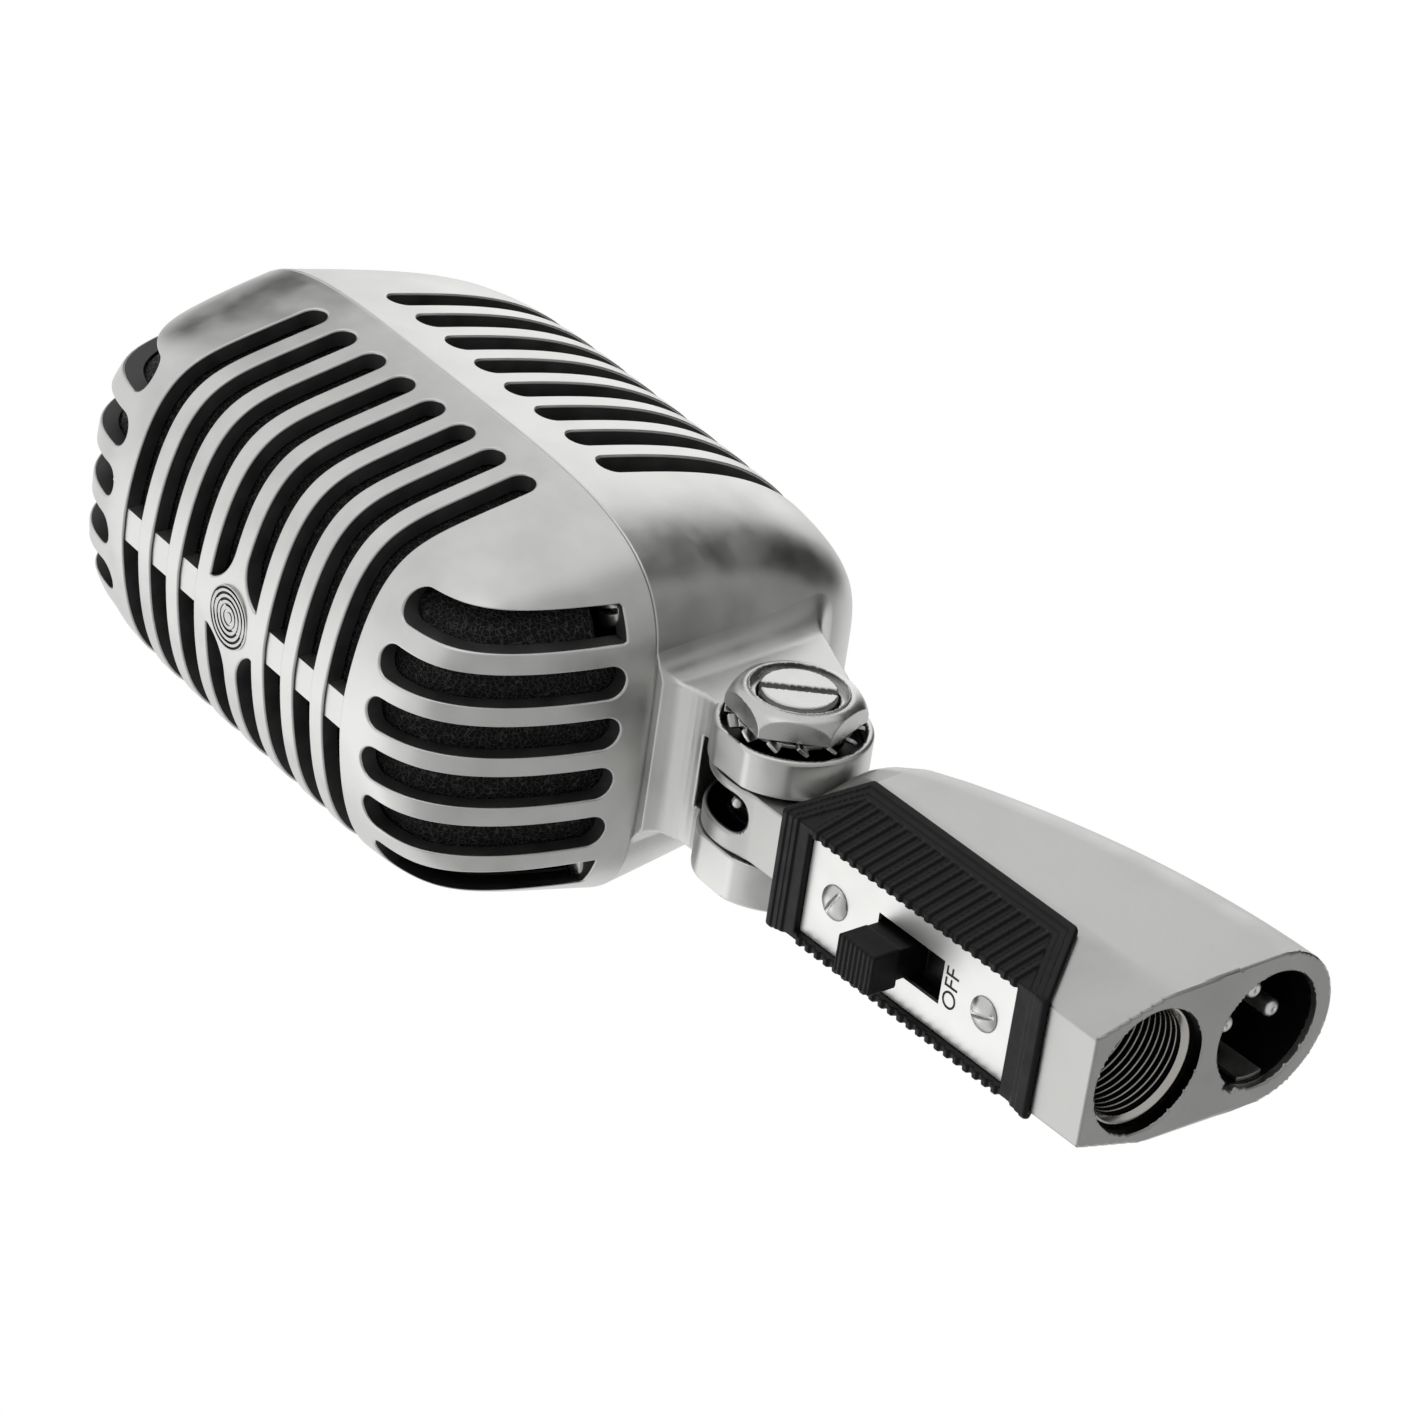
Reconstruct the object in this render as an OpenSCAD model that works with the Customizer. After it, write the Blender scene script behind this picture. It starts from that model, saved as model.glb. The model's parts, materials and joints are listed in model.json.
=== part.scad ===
// Vintage slotted-grille dynamic microphone: a head of two castings tilts on a forked
// swivel above a die-cast base with a stand thread, a slide switch and a three-pin socket.
// Millimetres. Origin at the mouth of the stand thread, +Z up, the front faces -Y.

/* [Head castings] */
// Width of the head at its seam
head_w = 57.4; // [52:0.2:69]
// Height of the two head castings
head_h = 99.2; // [90:0.2:120]
// Depth of the front casting ahead of the seam
front_depth = 31.5; // [30.5:0.1:38]
// Depth of the rear casting behind the seam
rear_depth = 45.7; // [38:0.1:55]
// Wall thickness of both castings
wall = 2.4; // [2:0.1:2.9]
// Lean of the head away from the front at rest, in degrees
head_lean = 3.5; // [0:0.5:10]

/* [Grille slots] */
// Spacing of the level slots
slot_pitch = 7; // [6:0.1:8.4]
// Height of each level slot
slot_h = 3.2; // [2.6:0.1:3.9]
// Half width of the upright band at the middle of the grille
band_half = 2.35; // [1.9:0.05:2.9]
// Spacing of the upright slots
upright_pitch = 7.27; // [6:0.01:7.4]
// Width of each upright slot
upright_w = 4.35; // [3.6:0.05:5.2]
// Thickness of the foam lining
foam_t = 3; // [2.4:0.1:3.6]

/* [Swivel] */
// Radius of the pivot screw
pivot_r = 5.2; // [4.3:0.1:6.3]
// Half width of the knuckle on the base
knuckle_half = 4.7; // [3.9:0.1:5.4]
// Gap between the knuckle and each fork lug
fork_gap = 0.4; // [0.3:0.05:0.5]

/* [Base] */
// Height of the base below the knuckle
base_h = 59; // [57:0.5:72]
// Radius of the rounded back of the base
back_r = 10.75; // [10.2:0.05:12.9]
// Distance from the stand thread to the socket
socket_y = 19.6; // [19.3:0.1:22]
// Radius of the connector socket
socket_r = 8.05; // [6.7:0.05:8.3]
// Radius of the threaded wall in the stand insert
thread_r = 7.5; // [6.3:0.05:7.8]
// Depth of the threaded wall
thread_depth = 13.6; // [11:0.1:13.8]

/* [Switch] */
// Travel of the switch from on to off
travel = 4.7; // [3.9:0.1:4.9]
// Half width of the switch button
button_half = 2.8; // [2.4:0.1:3.2]

/* [Hidden] */
$fn = 64;
eps = 0.01;
fit = 0.05;
gap = 0.3;
seam_gap = 0.075;

// The insert sits this far inside the foot, so the foot is below the origin
insert_recess = 1.75;
insert_wall = 0.7;
insert_r = thread_r + insert_wall;
mouth_r = thread_r + 1;

// Head frame: the origin is the pivot, and the seam is the plane y = seam_y
pivot_y = 0.7;
seam_y = -9.7;
lug_r = pivot_r + 5;
pivot_h = base_h + lug_r + gap;
foot_z = lug_r + 6;
head_mid = head_h / 2 + foot_z;
half_w = head_w / 2;
half_h = head_h / 2;
outline_n = 4.35;
slot_count = 8;
front_slot_end = seam_y - 3.4;
rear_slot_end = seam_y + 6.5;
upright_count = 6;
upright_start = 4.2;
upright_reach = 17.9;
mid_rib = slot_pitch - slot_h;

// Each side of a casting follows (1 - draft s) (1 - s^p)^(1/q) over its depth s
front_side = [0.3, 8.6, 1.6];
front_cap = [0.14, 8.7, 6];
rear_side = [0.26, 4.06, 2];
rear_cap = [0.107, 8.3, 2.7];
outer_steps = [0, 0.3, 0.55, 0.72, 0.82, 0.9, 0.95, 0.98, 0.998];
inner_steps = [0, 0.4, 0.66, 0.82, 0.92, 0.97, 0.998];

// Swivel
swivel_x = 0.4;
knuckle_r = lug_r - 0.4;
neck_back = 6.6;
lug_out = 11;
bridge_r = lug_r + 0.8;
pocket_r = lug_r - 1.1;
pocket_floor = 8.5;
nut_r = pivot_r + 3.1;
nut_in = 9.4;
nut_out = 15.3;
screw_end = 15.8;
screw_head_r = pivot_r + 2.8;
screw_head_t = 1.75;

// Base section
front_y = -10.03;
front_half = 7.7;
shoulder_x = 10.5;
shoulder_y = 1.2;
back_curve = 115;
back_curve_h = 59;
base_steps = [[0, 0], [0.2, 0], [0.4, 0], [0.58, 0], [0.73, 0], [0.85, 0], [0.92, 0.1], [0.966, 0.9], [1, 2.6]];

// Front trim
trim_t = 1;
trim_low = 8.3;
trim_high = base_h - 1.6;
tray_half = 8;
tray_low = 12.5;
tray_high = trim_high - 3.9;
tray_back = -7.4;
tray_foot_back = -8.6;
tray_foot = 17;
plate_half = 6.93;
plate_low = 13.9;
plate_high = tray_high - 1.2;
plate_front = -9.5;
plate_t = 0.55;
rib_pitch = 1.75;
rib_count = floor((plate_high - plate_low) / rib_pitch) + 1;
trim_screw_low = 19.1;
trim_screw_high = plate_high - 5.3;
slot_mid = (trim_screw_low + trim_screw_high) / 2;
slot_low = slot_mid - 6.15;
slot_high = slot_mid + 6.15;
slot_half = button_half + 0.27;
neck_high = slot_high - 0.5;
neck_low = slot_low + travel + 0.7;
button_low = neck_low - 0.6;
button_high = neck_high - 0.4;
button_front = -16.8;

// Capsule, along the head's Y axis
capsule_r = 17;
capsule_front = -26;
capsule_back = -4;
capsule_wall = 1.2;
bracket_front = -9.2;
bracket_t = 1.5;

// ---- frames and small helpers ----

module base_pose() {
  translate([0, 0, -insert_recess])
    children();
}

module head_pose() {
  base_pose()
    translate([0, pivot_y, pivot_h])
      rotate([-head_lean, 0, 0])
        children();
}

module swivel_pose() {
  base_pose()
    translate([0, pivot_y, pivot_h])
      children();
}

// A round bar along X from x0 to x1
module bar_x(r, x0, x1) {
  translate([x0, 0, 0])
    rotate([0, 90, 0])
      cylinder(r = r, h = x1 - x0);
}

// A round bar along Y from y0 to y1
module bar_y(r, y0, y1) {
  translate([0, y1, 0])
    rotate([90, 0, 0])
      cylinder(r = r, h = y1 - y0);
}

// A box given by its low and high corners
module box(low, high) {
  translate(low)
    cube(high - low);
}

// A length of wire along one axis, with round ends
module wire(a, b, r) {
  d = b - a;
  turn = abs(d[2]) > eps ? [0, d[2] > 0 ? 0 : 180, 0] :
    abs(d[0]) > eps ? [0, d[0] > 0 ? 90 : -90, 0] : [d[1] > 0 ? -90 : 90, 0, 0];
  translate(a)
    rotate(turn)
      cylinder(r = r, h = norm(d), $fn = 24);
  translate(a)
    sphere(r = r, $fn = 24);
  translate(b)
    sphere(r = r, $fn = 24);
}

// A lead that turns at each point of its path
module lead(path, r) {
  for (i = [1:len(path) - 1])
    wire(path[i - 1], path[i], r);
}

// ---- head castings ----

function taper(s, form) = (1 - form[0] * s) * pow(1 - pow(max(s, 0), form[1]), 1 / form[2]);
function squared(v) = sign(v) * pow(abs(v), 2 / outline_n);

module seam_section(w, h, step) {
  polygon([for (a = [0:step:359]) [w * squared(cos(a)), h * squared(sin(a))]]);
}

// One half of the head, drawn ahead (way -1) or behind (way 1) of the seam, less an inset
module half_head(depth, way, side, cap, inset, steps, step, start) {
  hull()
    for (s = concat([start], steps))
      translate([0, seam_y + way * s * (depth - inset), head_mid])
        rotate([90, 0, 0])
          linear_extrude(height = eps)
            seam_section((half_w - inset) * taper(s, side), (half_h - inset) * taper(s, cap), step);
}

module front_half_head(inset, steps, step, start) {
  half_head(front_depth, -1, front_side, front_cap, inset, steps, step, start);
}

module rear_half_head(inset, steps, step, start) {
  half_head(rear_depth, 1, rear_side, rear_cap, inset, steps, step, start);
}

// Side view of a level slot: round at its end, running out past the casting
module level_slot(z, end, way) {
  r = slot_h / 2;
  reach = front_depth + rear_depth;
  translate([-half_w - 1, 0, 0])
    rotate([90, 0, 90])
      linear_extrude(height = head_w + 2) {
        translate([end + way * r, z])
          circle(r = r);
        translate([way > 0 ? end + r : end - r - reach, z - r])
          square([reach, slot_h]);
      }
}

// The two middle slots stop in a point beside the emblem
module emblem_boss() {
  reach = 8.5;
  rise = 7.3;
  curve = 5.4;
  translate([0, seam_y - front_depth / 2, head_mid])
    rotate([90, 0, 0])
      linear_extrude(height = front_depth)
        difference() {
          square([2 * reach, 2 * (mid_rib / 2 + slot_h)], center = true);
          for (x = [-reach, reach], z = [-rise, rise])
            translate([x, z])
              circle(r = curve);
        }
}

module level_slots(end, way) {
  for (i = [0:slot_count - 1])
    level_slot(head_mid + (i - (slot_count - 1) / 2) * slot_pitch, end, way);
}

// One upright slot round the top or the foot of a casting
module upright_slot(x, way, square_end) {
  r = upright_w / 2;
  deep = 60;
  reach = upright_reach + (abs(x) > 1.5 * upright_pitch && abs(x) < 3 * upright_pitch ? -0.5 : 0);
  end = seam_y + way * upright_start;
  intersection() {
    translate([x, seam_y + way * deep, 0])
      rotate([90, 0, 0])
        translate([0, 0, way > 0 ? 0 : -deep])
          linear_extrude(height = deep) {
            translate([0, reach - r])
              circle(r = r);
            translate([-r, -20])
              square([upright_w, 20 + reach - r]);
          }
    translate([x, 0, -20])
      linear_extrude(height = 20 + reach + r) {
        if (!square_end)
          translate([0, end + way * r])
            circle(r = r);
        translate([-r, way > 0 ? end + (square_end ? 0 : r) : end - (square_end ? 0 : r) - deep])
          square([upright_w, deep]);
      }
  }
}

module upright_slots(way, square_ends) {
  for (i = [0:upright_count - 1]) {
    n = i - (upright_count - 1) / 2;
    upright_slot(n * upright_pitch, way, square_ends && abs(n) > 2);
  }
}

// Uprights at the foot start from the foot; those at the top are their mirror image
module foot_slots(way, square_ends) {
  translate([0, 0, foot_z])
    upright_slots(way, square_ends);
}

module top_slots(way) {
  translate([0, 0, head_mid + half_h])
    mirror([0, 0, 1])
      upright_slots(way, false);
}

case_screw_x = 17.5;
case_head_r = 2.2;
case_clear = 0.63;

// The screws sit as low in the casting's corners as its inner wall lets their heads go
case_corner = (case_screw_x + case_head_r + case_clear) / (half_w - wall);
case_screw_z = head_mid + case_head_r - (half_h - wall) * pow(1 - pow(case_corner, outline_n), 1 / outline_n);

module case_boss(y0, y1) {
  for (x = [-case_screw_x, case_screw_x])
    translate([x, 0, case_screw_z]) {
      bar_y(3, y0, y1);
      box([-3, y0, -6], [3, y1, 0]);
    }
}

module front_grille() {
  color("silver")
    head_pose()
      difference() {
        union() {
          difference() {
            front_half_head(0, outer_steps, 9, 0);
            front_half_head(wall, inner_steps, 12, -0.02);
            difference() {
              level_slots(front_slot_end, -1);
              box([-band_half, -80, 0], [band_half, 0, head_h + 40]);
              emblem_boss();
            }
            foot_slots(-1, true);
            top_slots(-1);
          }
          intersection() {
            case_boss(seam_y - 2.6, seam_y);
            front_half_head(0.2, inner_steps, 12, 0);
          }
        }
        for (x = [-case_screw_x, case_screw_x])
          translate([x, 0, case_screw_z])
            bar_y(1.3, seam_y - 5, seam_y + 1);
        translate([0, 0, head_mid])
          bar_y(emblem_r + fit, emblem_back - 2, emblem_back);
        box([-half_w, seam_y - seam_gap, 0], [half_w, seam_y + 1, head_h + 30]);
      }
}

emblem_r = 4.4;
emblem_back = seam_y - front_depth + 0.5;

module emblem() {
  color("dimgray")
    head_pose()
      translate([0, 0, head_mid])
        bar_y(emblem_r, emblem_back - 0.45, emblem_back);
}

module fork_side() {
  circle(r = lug_r);
  polygon([[-6.9, foot_z + 8], [-6.55, foot_z - 8.4], [0, 0], [9.8, -2.8], [13.7, foot_z - 9.3],
           [18.3, foot_z + 4], [19.4, foot_z + 8]]);
}

passage_r = 2.4;
passage_y = 3;

module rear_shell() {
  color("silver")
    head_pose()
      difference() {
        union() {
          difference() {
            union() {
              rear_half_head(0, outer_steps, 9, 0);
              translate([-lug_out, 0, 0])
                rotate([90, 0, 90])
                  linear_extrude(height = 2 * lug_out)
                    fork_side();
            }
            rear_half_head(wall, inner_steps, 12, -0.02);
          }
          intersection() {
            union() {
              case_boss(seam_y, seam_y + 9);
              box([-11, bracket_front + bracket_t, 10], [11, bracket_front + 6, foot_z + 12.6]);
            }
            rear_half_head(0.2, inner_steps, 12, 0);
          }
        }
        difference() {
          level_slots(rear_slot_end, 1);
          box([-band_half, 0, 0], [band_half, 80, head_h + 40]);
        }
        top_slots(1);
        translate([swivel_x, 0, 0]) {
          bar_x(bridge_r, -knuckle_half - fork_gap, knuckle_half + fork_gap);
          translate([0, passage_y, 0])
            cylinder(r = passage_r, h = 40);
        }
        bar_x(pivot_r + fit, -lug_out - 1, lug_out + 1);
        bar_x(pocket_r, pocket_floor, lug_out + 1);
        for (x = [-case_screw_x, case_screw_x])
          translate([x, 0, case_screw_z])
            bar_y(1.05, seam_y - 1, seam_y + 7);
        bracket_holes(1.05, bracket_front + 5);
        box([-half_w, seam_y - 1, foot_z - 5], [half_w, seam_y + seam_gap, head_h + 30]);
      }
}

module case_screws() {
  color("gainsboro")
    head_pose()
      for (x = [-case_screw_x, case_screw_x])
        translate([x, 0, case_screw_z])
          difference() {
            union() {
              bar_y(case_head_r, seam_y - 4.3, seam_y - 2.6);
              bar_y(1.05, seam_y - 2.6, seam_y + 6.5);
            }
            box([-3, seam_y - 5, -0.3], [3, seam_y - 3.6, 0.3]);
          }
}

// The lining keeps clear of the screws, the bracket's foot and the cable passage
module foam_reliefs() {
  for (x = [-case_screw_x, case_screw_x])
    translate([x, 0, case_screw_z])
      box([-3.4, seam_y - 5, -9], [3.4, seam_y + 9.4, 3.4]);
  box([-11.4, seam_y - 1, 0], [11.4, bracket_front + 6.4, foot_z + 13]);
  translate([swivel_x, passage_y, 0])
    cylinder(r = passage_r + 0.5, h = 40);
}

module front_foam() {
  color("black")
    head_pose()
      difference() {
        front_half_head(wall + gap, inner_steps, 12, 0);
        front_half_head(wall + gap + foam_t, inner_steps, 15, -0.02);
        foam_reliefs();
        box([-half_w, seam_y - 1.8, 0], [half_w, seam_y + 1, head_h + 40]);
      }
}

module rear_foam() {
  color("black")
    head_pose()
      difference() {
        rear_half_head(wall + gap, inner_steps, 12, 0);
        rear_half_head(wall + gap + foam_t, inner_steps, 15, -0.02);
        foam_reliefs();
        box([-half_w, seam_y - 1, 0], [half_w, seam_y + 4, head_h + 40]);
      }
}

// ---- capsule ----

module capsule_pose() {
  head_pose()
    translate([0, 0, head_mid])
      children();
}

module capsule_housing() {
  color("dimgray")
    capsule_pose()
      difference() {
        bar_y(capsule_r, capsule_front, capsule_back);
        bar_y(capsule_r - capsule_wall, capsule_front - 1, capsule_back - 2);
        bar_y(7, capsule_back - 3, capsule_back + 1);
      }
}

module capsule_cap() {
  color("silver")
    capsule_pose()
      difference() {
        bar_y(capsule_r, capsule_front - 1.6, capsule_front);
        bar_y(2, capsule_front - 2, capsule_front + 1);
        for (a = [0:45:315])
          rotate([0, a, 0])
            translate([9, 0, 0])
              bar_y(2, capsule_front - 2, capsule_front + 1);
      }
}

inner_r = capsule_r - capsule_wall - fit;
rim_y = capsule_front + 3.2;

module diaphragm() {
  dome_r = 18;
  dome_edge = 8.7;
  sink = sqrt(dome_r * dome_r - dome_edge * dome_edge);
  color("gold")
    capsule_pose()
      translate([0, rim_y, 0]) {
        difference() {
          bar_y(inner_r, -0.3, 0);
          bar_y(dome_edge, -1, 1);
        }
        intersection() {
          bar_y(dome_edge + eps, -5, 0);
          difference() {
            translate([0, sink - 0.3, 0])
              sphere(r = dome_r);
            translate([0, sink, 0])
              sphere(r = dome_r);
          }
        }
      }
}

coil_in = 8.75;
coil_out = 9.5;

module voice_coil() {
  color("chocolate")
    capsule_pose()
      difference() {
        bar_y(coil_out, rim_y, rim_y + 5);
        bar_y(coil_in, rim_y - 1, rim_y + 6);
      }
}

plate_y = rim_y + 1;

module top_plate() {
  color("slategray")
    capsule_pose() {
      difference() {
        bar_y(inner_r, plate_y, plate_y + 3);
        bar_y(coil_out + 0.4, plate_y - 1, plate_y + 4);
      }
      difference() {
        bar_y(inner_r, rim_y, plate_y);
        bar_y(inner_r - 2, rim_y - 1, plate_y + 1);
      }
    }
}

module pole_piece() {
  color("slategray")
    capsule_pose()
      bar_y(coil_in - 0.45, plate_y, plate_y + 5);
}

module magnet() {
  color("dimgray")
    capsule_pose()
      bar_y(7, plate_y + 5, capsule_back - 5);
}

module magnet_yoke() {
  color("slategray")
    capsule_pose()
      difference() {
        bar_y(inner_r, plate_y + 3, capsule_back - 2);
        bar_y(inner_r - 2.2, plate_y + 2, capsule_back - 5);
      }
}

module resonator_cup() {
  color("dimgray")
    capsule_pose()
      difference() {
        bar_y(14, capsule_back, capsule_back + 12);
        bar_y(12.8, capsule_back - 1, capsule_back + 10.8);
        translate([0, 0, -9])
          bar_y(1.2, capsule_back + 10, capsule_back + 13);
      }
}

ring_groove = 19;

module shock_ring() {
  color("black")
    capsule_pose()
      difference() {
        bar_y(21, bracket_front - 3, bracket_front + bracket_t + 3);
        bar_y(capsule_r + eps, bracket_front - 4, bracket_front + bracket_t + 4);
        difference() {
          bar_y(22, bracket_front - eps, bracket_front + bracket_t + eps);
          bar_y(ring_groove, bracket_front - 1, bracket_front + bracket_t + 1);
        }
      }
}

bracket_screw_x = 7.5;
bracket_screw_z = foot_z + 9.2;
core_z = foot_z + 20.5;
core_half = 10;
core_tall = 7.5;
core_back = 7;
window_x = 6.8;
leg_x = 3.2;
limb_z = 4.6;

module bracket_holes(r, deep) {
  for (x = [-bracket_screw_x, bracket_screw_x])
    translate([x, 0, bracket_screw_z])
      bar_y(r, bracket_front - 1, deep);
}

module cartridge_bracket() {
  color("gray")
    head_pose()
      difference() {
        union() {
          translate([0, 0, head_mid])
            bar_y(23.2, bracket_front, bracket_front + bracket_t);
          box([-10.5, bracket_front, foot_z + 7], [10.5, bracket_front + bracket_t, head_mid - 15]);
        }
        translate([0, 0, head_mid])
          bar_y(ring_groove + fit, bracket_front - 1, bracket_front + bracket_t + 1);
        box([-window_x - 0.3, bracket_front - 1, core_z - limb_z - 0.3],
            [window_x + 0.3, bracket_front + 3, core_z + limb_z + 0.3]);
        bracket_holes(1.25, bracket_front + 3);
      }
}

module bracket_screws() {
  color("gainsboro")
    head_pose()
      difference() {
        union() {
          bracket_holes_solid(2.1, bracket_front - 1.5, bracket_front);
          bracket_holes_solid(1.05, bracket_front, bracket_front + 4.8);
        }
        box([-12, bracket_front - 2, bracket_screw_z - 0.25], [12, bracket_front - 0.9, bracket_screw_z + 0.25]);
      }
}

module bracket_holes_solid(r, y0, y1) {
  for (x = [-bracket_screw_x, bracket_screw_x])
    translate([x, 0, bracket_screw_z])
      bar_y(r, y0, y1);
}

core_y = bracket_front + bracket_t;

module transformer_core() {
  color("slategray")
    head_pose()
      translate([0, core_y, core_z])
        difference() {
          box([-core_half, 0, -core_tall], [core_half, core_back, core_tall]);
          for (m = [0, 1])
            mirror([m, 0, 0])
              box([leg_x, -1, -limb_z], [window_x, core_back + 1, limb_z]);
        }
}

module transformer_coil() {
  color("saddlebrown")
    head_pose()
      translate([0, core_y, core_z])
        difference() {
          box([-window_x + fit, -3, -limb_z + fit], [window_x - fit, core_back + 3, limb_z - fit]);
          box([-leg_x - fit, -fit, -limb_z], [leg_x + fit, core_back + fit, limb_z]);
          for (m = [0, 1])
            mirror([0, 0, m])
              box([-leg_x - fit, -fit, limb_z - 1], [leg_x + fit, core_back + fit, limb_z + 1]);
        }
}

lead_r = 0.6;
coil_back = core_y + core_back + 3 + lead_r + fit;

module head_leads() {
  color("firebrick")
    head_pose()
      for (x = [swivel_x - 0.9, swivel_x + 0.9]) {
        lead([[x, capsule_back + 12.7, head_mid - 4], [x, capsule_back + 14, head_mid - 4],
              [x, capsule_back + 14, core_z + 3], [x, coil_back, core_z + 3]], lead_r);
        lead([[x, coil_back, core_z - 3], [x, coil_back + 1.5, core_z - 3],
              [x, coil_back + 1.5, foot_z + 11], [x, passage_y, foot_z + 11], [x, passage_y, foot_z - 1]], lead_r);
      }
}

// ---- swivel ----

module pivot_screw() {
  color("gainsboro")
    swivel_pose()
      difference() {
        union() {
          bar_x(screw_head_r, -lug_out - screw_head_t, -lug_out);
          bar_x(pivot_r, -lug_out, screw_end);
        }
        rotate([-35, 0, 0])
          box([screw_end - 1.2, -pivot_r - 1, -0.6], [screw_end + 1, pivot_r + 1, 0.6]);
      }
}

module pivot_nut() {
  crown_r = 6.4;
  slope = 5.2;
  color("silver")
    head_pose()
      difference() {
        intersection() {
          rotate([15, 0, 0])
            translate([nut_in, 0, 0])
              rotate([0, 90, 0])
                cylinder(r = nut_r, h = nut_out - nut_in, $fn = 6);
          translate([nut_out - slope, 0, 0])
            rotate([0, 90, 0])
              cylinder(r1 = crown_r + 0.6 * slope, r2 = crown_r, h = slope);
        }
        bar_x(pivot_r + fit, nut_in - 1, nut_out + 1);
      }
}

module lock_washer() {
  tooth_count = 14;
  color("gainsboro")
    head_pose()
      difference() {
        union() {
          bar_x(7.4, pocket_floor, pocket_floor + 0.6);
          for (i = [0:tooth_count - 1])
            rotate([i * 360 / tooth_count, 0, 0])
              translate([pocket_floor + 0.45, 0, 7.5])
                rotate([0, 0, 25])
                  cube([0.5, 1.5, 2.2], center = true);
        }
        bar_x(pivot_r + fit, 0, 20);
        bar_x(20, pocket_floor - 2, pocket_floor);
      }
}

module friction_washers() {
  color("black")
    head_pose()
      for (x = [-knuckle_half - fork_gap + fit, knuckle_half + fit])
        translate([swivel_x, 0, 0])
          difference() {
            bar_x(8, x, x + fork_gap - 2 * fit);
            bar_x(pivot_r + fit, x - 1, x + 2);
          }
}

// ---- base ----

// The back's curve stretches with the base, so that it ends behind the knuckle at any height
function back_y(z) = socket_y - 0.2 - back_curve + sqrt(back_curve * back_curve - pow(z * back_curve_h / base_h, 2));

module base_section(z, shrink) {
  polygon(concat(
    [[front_half - shrink / 2, front_y + shrink / 4], [shoulder_x - shrink, shoulder_y]],
    [for (a = [-10:12:190]) [(back_r - shrink) * cos(a), back_y(z) + (back_r - shrink) * sin(a)]],
    [[-shoulder_x + shrink, shoulder_y], [-front_half + shrink / 2, front_y + shrink / 4]]));
}

module base_body() {
  hull()
    for (s = base_steps)
      translate([0, 0, s[0] * (base_h - eps)])
        linear_extrude(height = eps)
          base_section(s[0] * base_h, s[1]);
}

socket_deep = 15;
well_r = socket_r + 1;
well_low = 1.2;
cavity_low = insert_recess + thread_depth + 2;
cable_slot_x = 1.2;
cable_slot_half = 2.7;
cable_floor_r = pivot_r + 1.4;

// The cable's way round the front of the knuckle, ending round above the base
module cable_slot() {
  end_z = -1.2;
  translate([cable_slot_x, 0, 0]) {
    difference() {
      union() {
        translate([0, 0, end_z])
          bar_y(cable_slot_half, -knuckle_r - 1, 0);
        box([-cable_slot_half, -knuckle_r - 1, end_z], [cable_slot_half, 0, knuckle_r + 1]);
      }
      bar_x(cable_floor_r, -10, 10);
    }
    translate([0, -8, -20])
      cylinder(r = 1.3, h = 20);
  }
}

module base_housing() {
  color("silver")
    base_pose()
      difference() {
        union() {
          base_body();
          translate([swivel_x, pivot_y, pivot_h])
            bar_x(knuckle_r, -knuckle_half, knuckle_half);
          box([swivel_x - knuckle_half, pivot_y - knuckle_r + 0.8, base_h - 3],
              [swivel_x + knuckle_half, pivot_y + neck_back, pivot_h - 4]);
        }
        translate([0, pivot_y, pivot_h]) {
          bar_x(pivot_r + fit, -10, 10);
          cable_slot();
        }
        translate([0, 0, -1])
          cylinder(r = mouth_r, h = 1 + insert_recess);
        translate([0, 0, insert_recess - eps])
          cylinder(r = insert_r + fit, h = thread_depth + 0.3);
        translate([0, socket_y, -1])
          cylinder(r = socket_r, h = socket_deep + 4);
        translate([0, socket_y, well_low])
          cylinder(r = well_r + fit, h = socket_deep + 2 - well_low);
        translate([0, socket_y - 2, socket_deep])
          cylinder(r = 6, h = 9);
        tray(fit);
        box([-5.6, tray_back - 1, cavity_low], [5.6, 3.5, base_h - 5]);
        box([-3, 0, cavity_low + 4], [3, socket_y - 2, cavity_low + 9]);
        translate([0, socket_y, 0])
          rotate([0, 0, 215])
            box([socket_r - 1, -1, -1], [socket_r + 0.7, 1, well_low + 1]);
      }
}

module thread_insert() {
  color("gainsboro")
    difference() {
      cylinder(r = insert_r, h = thread_depth);
      translate([0, 0, -1])
        cylinder(r = thread_r, h = thread_depth + 2);
    }
}

module connector_insulator() {
  color("black")
    base_pose()
      translate([0, socket_y, 0])
        difference() {
          translate([0, 0, well_low])
            cylinder(r = well_r, h = socket_deep + 2 - well_low);
          translate([0, 0, well_low - 1])
            cylinder(r = socket_r, h = socket_deep - well_low + 1);
          pin_places()
            cylinder(r = pin_r + fit, h = 40);
        }
}

pin_r = 1.18;
pin_circle = 3.85;
pin_low = 3;

module pin_places() {
  for (a = [-90, 0, 90])
    rotate([0, 0, a])
      translate([pin_circle, 0, 0])
        children();
}

module connector_pins() {
  color("gainsboro")
    base_pose()
      translate([0, socket_y, 0])
        pin_places() {
          translate([0, 0, pin_low + pin_r])
            cylinder(r = pin_r, h = socket_deep + 1 - pin_low);
          translate([0, 0, pin_low + pin_r])
            sphere(r = pin_r);
        }
}

module ground_contact() {
  color("gainsboro")
    base_pose()
      translate([0, socket_y, 0])
        intersection() {
          translate([0, 0, 1.6])
            difference() {
              cylinder(r = socket_r - fit, h = socket_deep - 2);
              translate([0, 0, -1])
                cylinder(r = socket_r - 0.6, h = socket_deep + 2);
            }
          box([-socket_r - 1, -2, 0], [-socket_r + 2, 2, 20]);
        }
}

module guide_pin() {
  color("gainsboro")
    swivel_pose()
      translate([cable_slot_x + 0.8, 0, -0.8]) {
        bar_y(0.9, -cable_floor_r - 1.5, -cable_floor_r);
        translate([0, -cable_floor_r - 1.5, 0])
          sphere(r = 0.9);
      }
}

// ---- front trim ----

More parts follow.
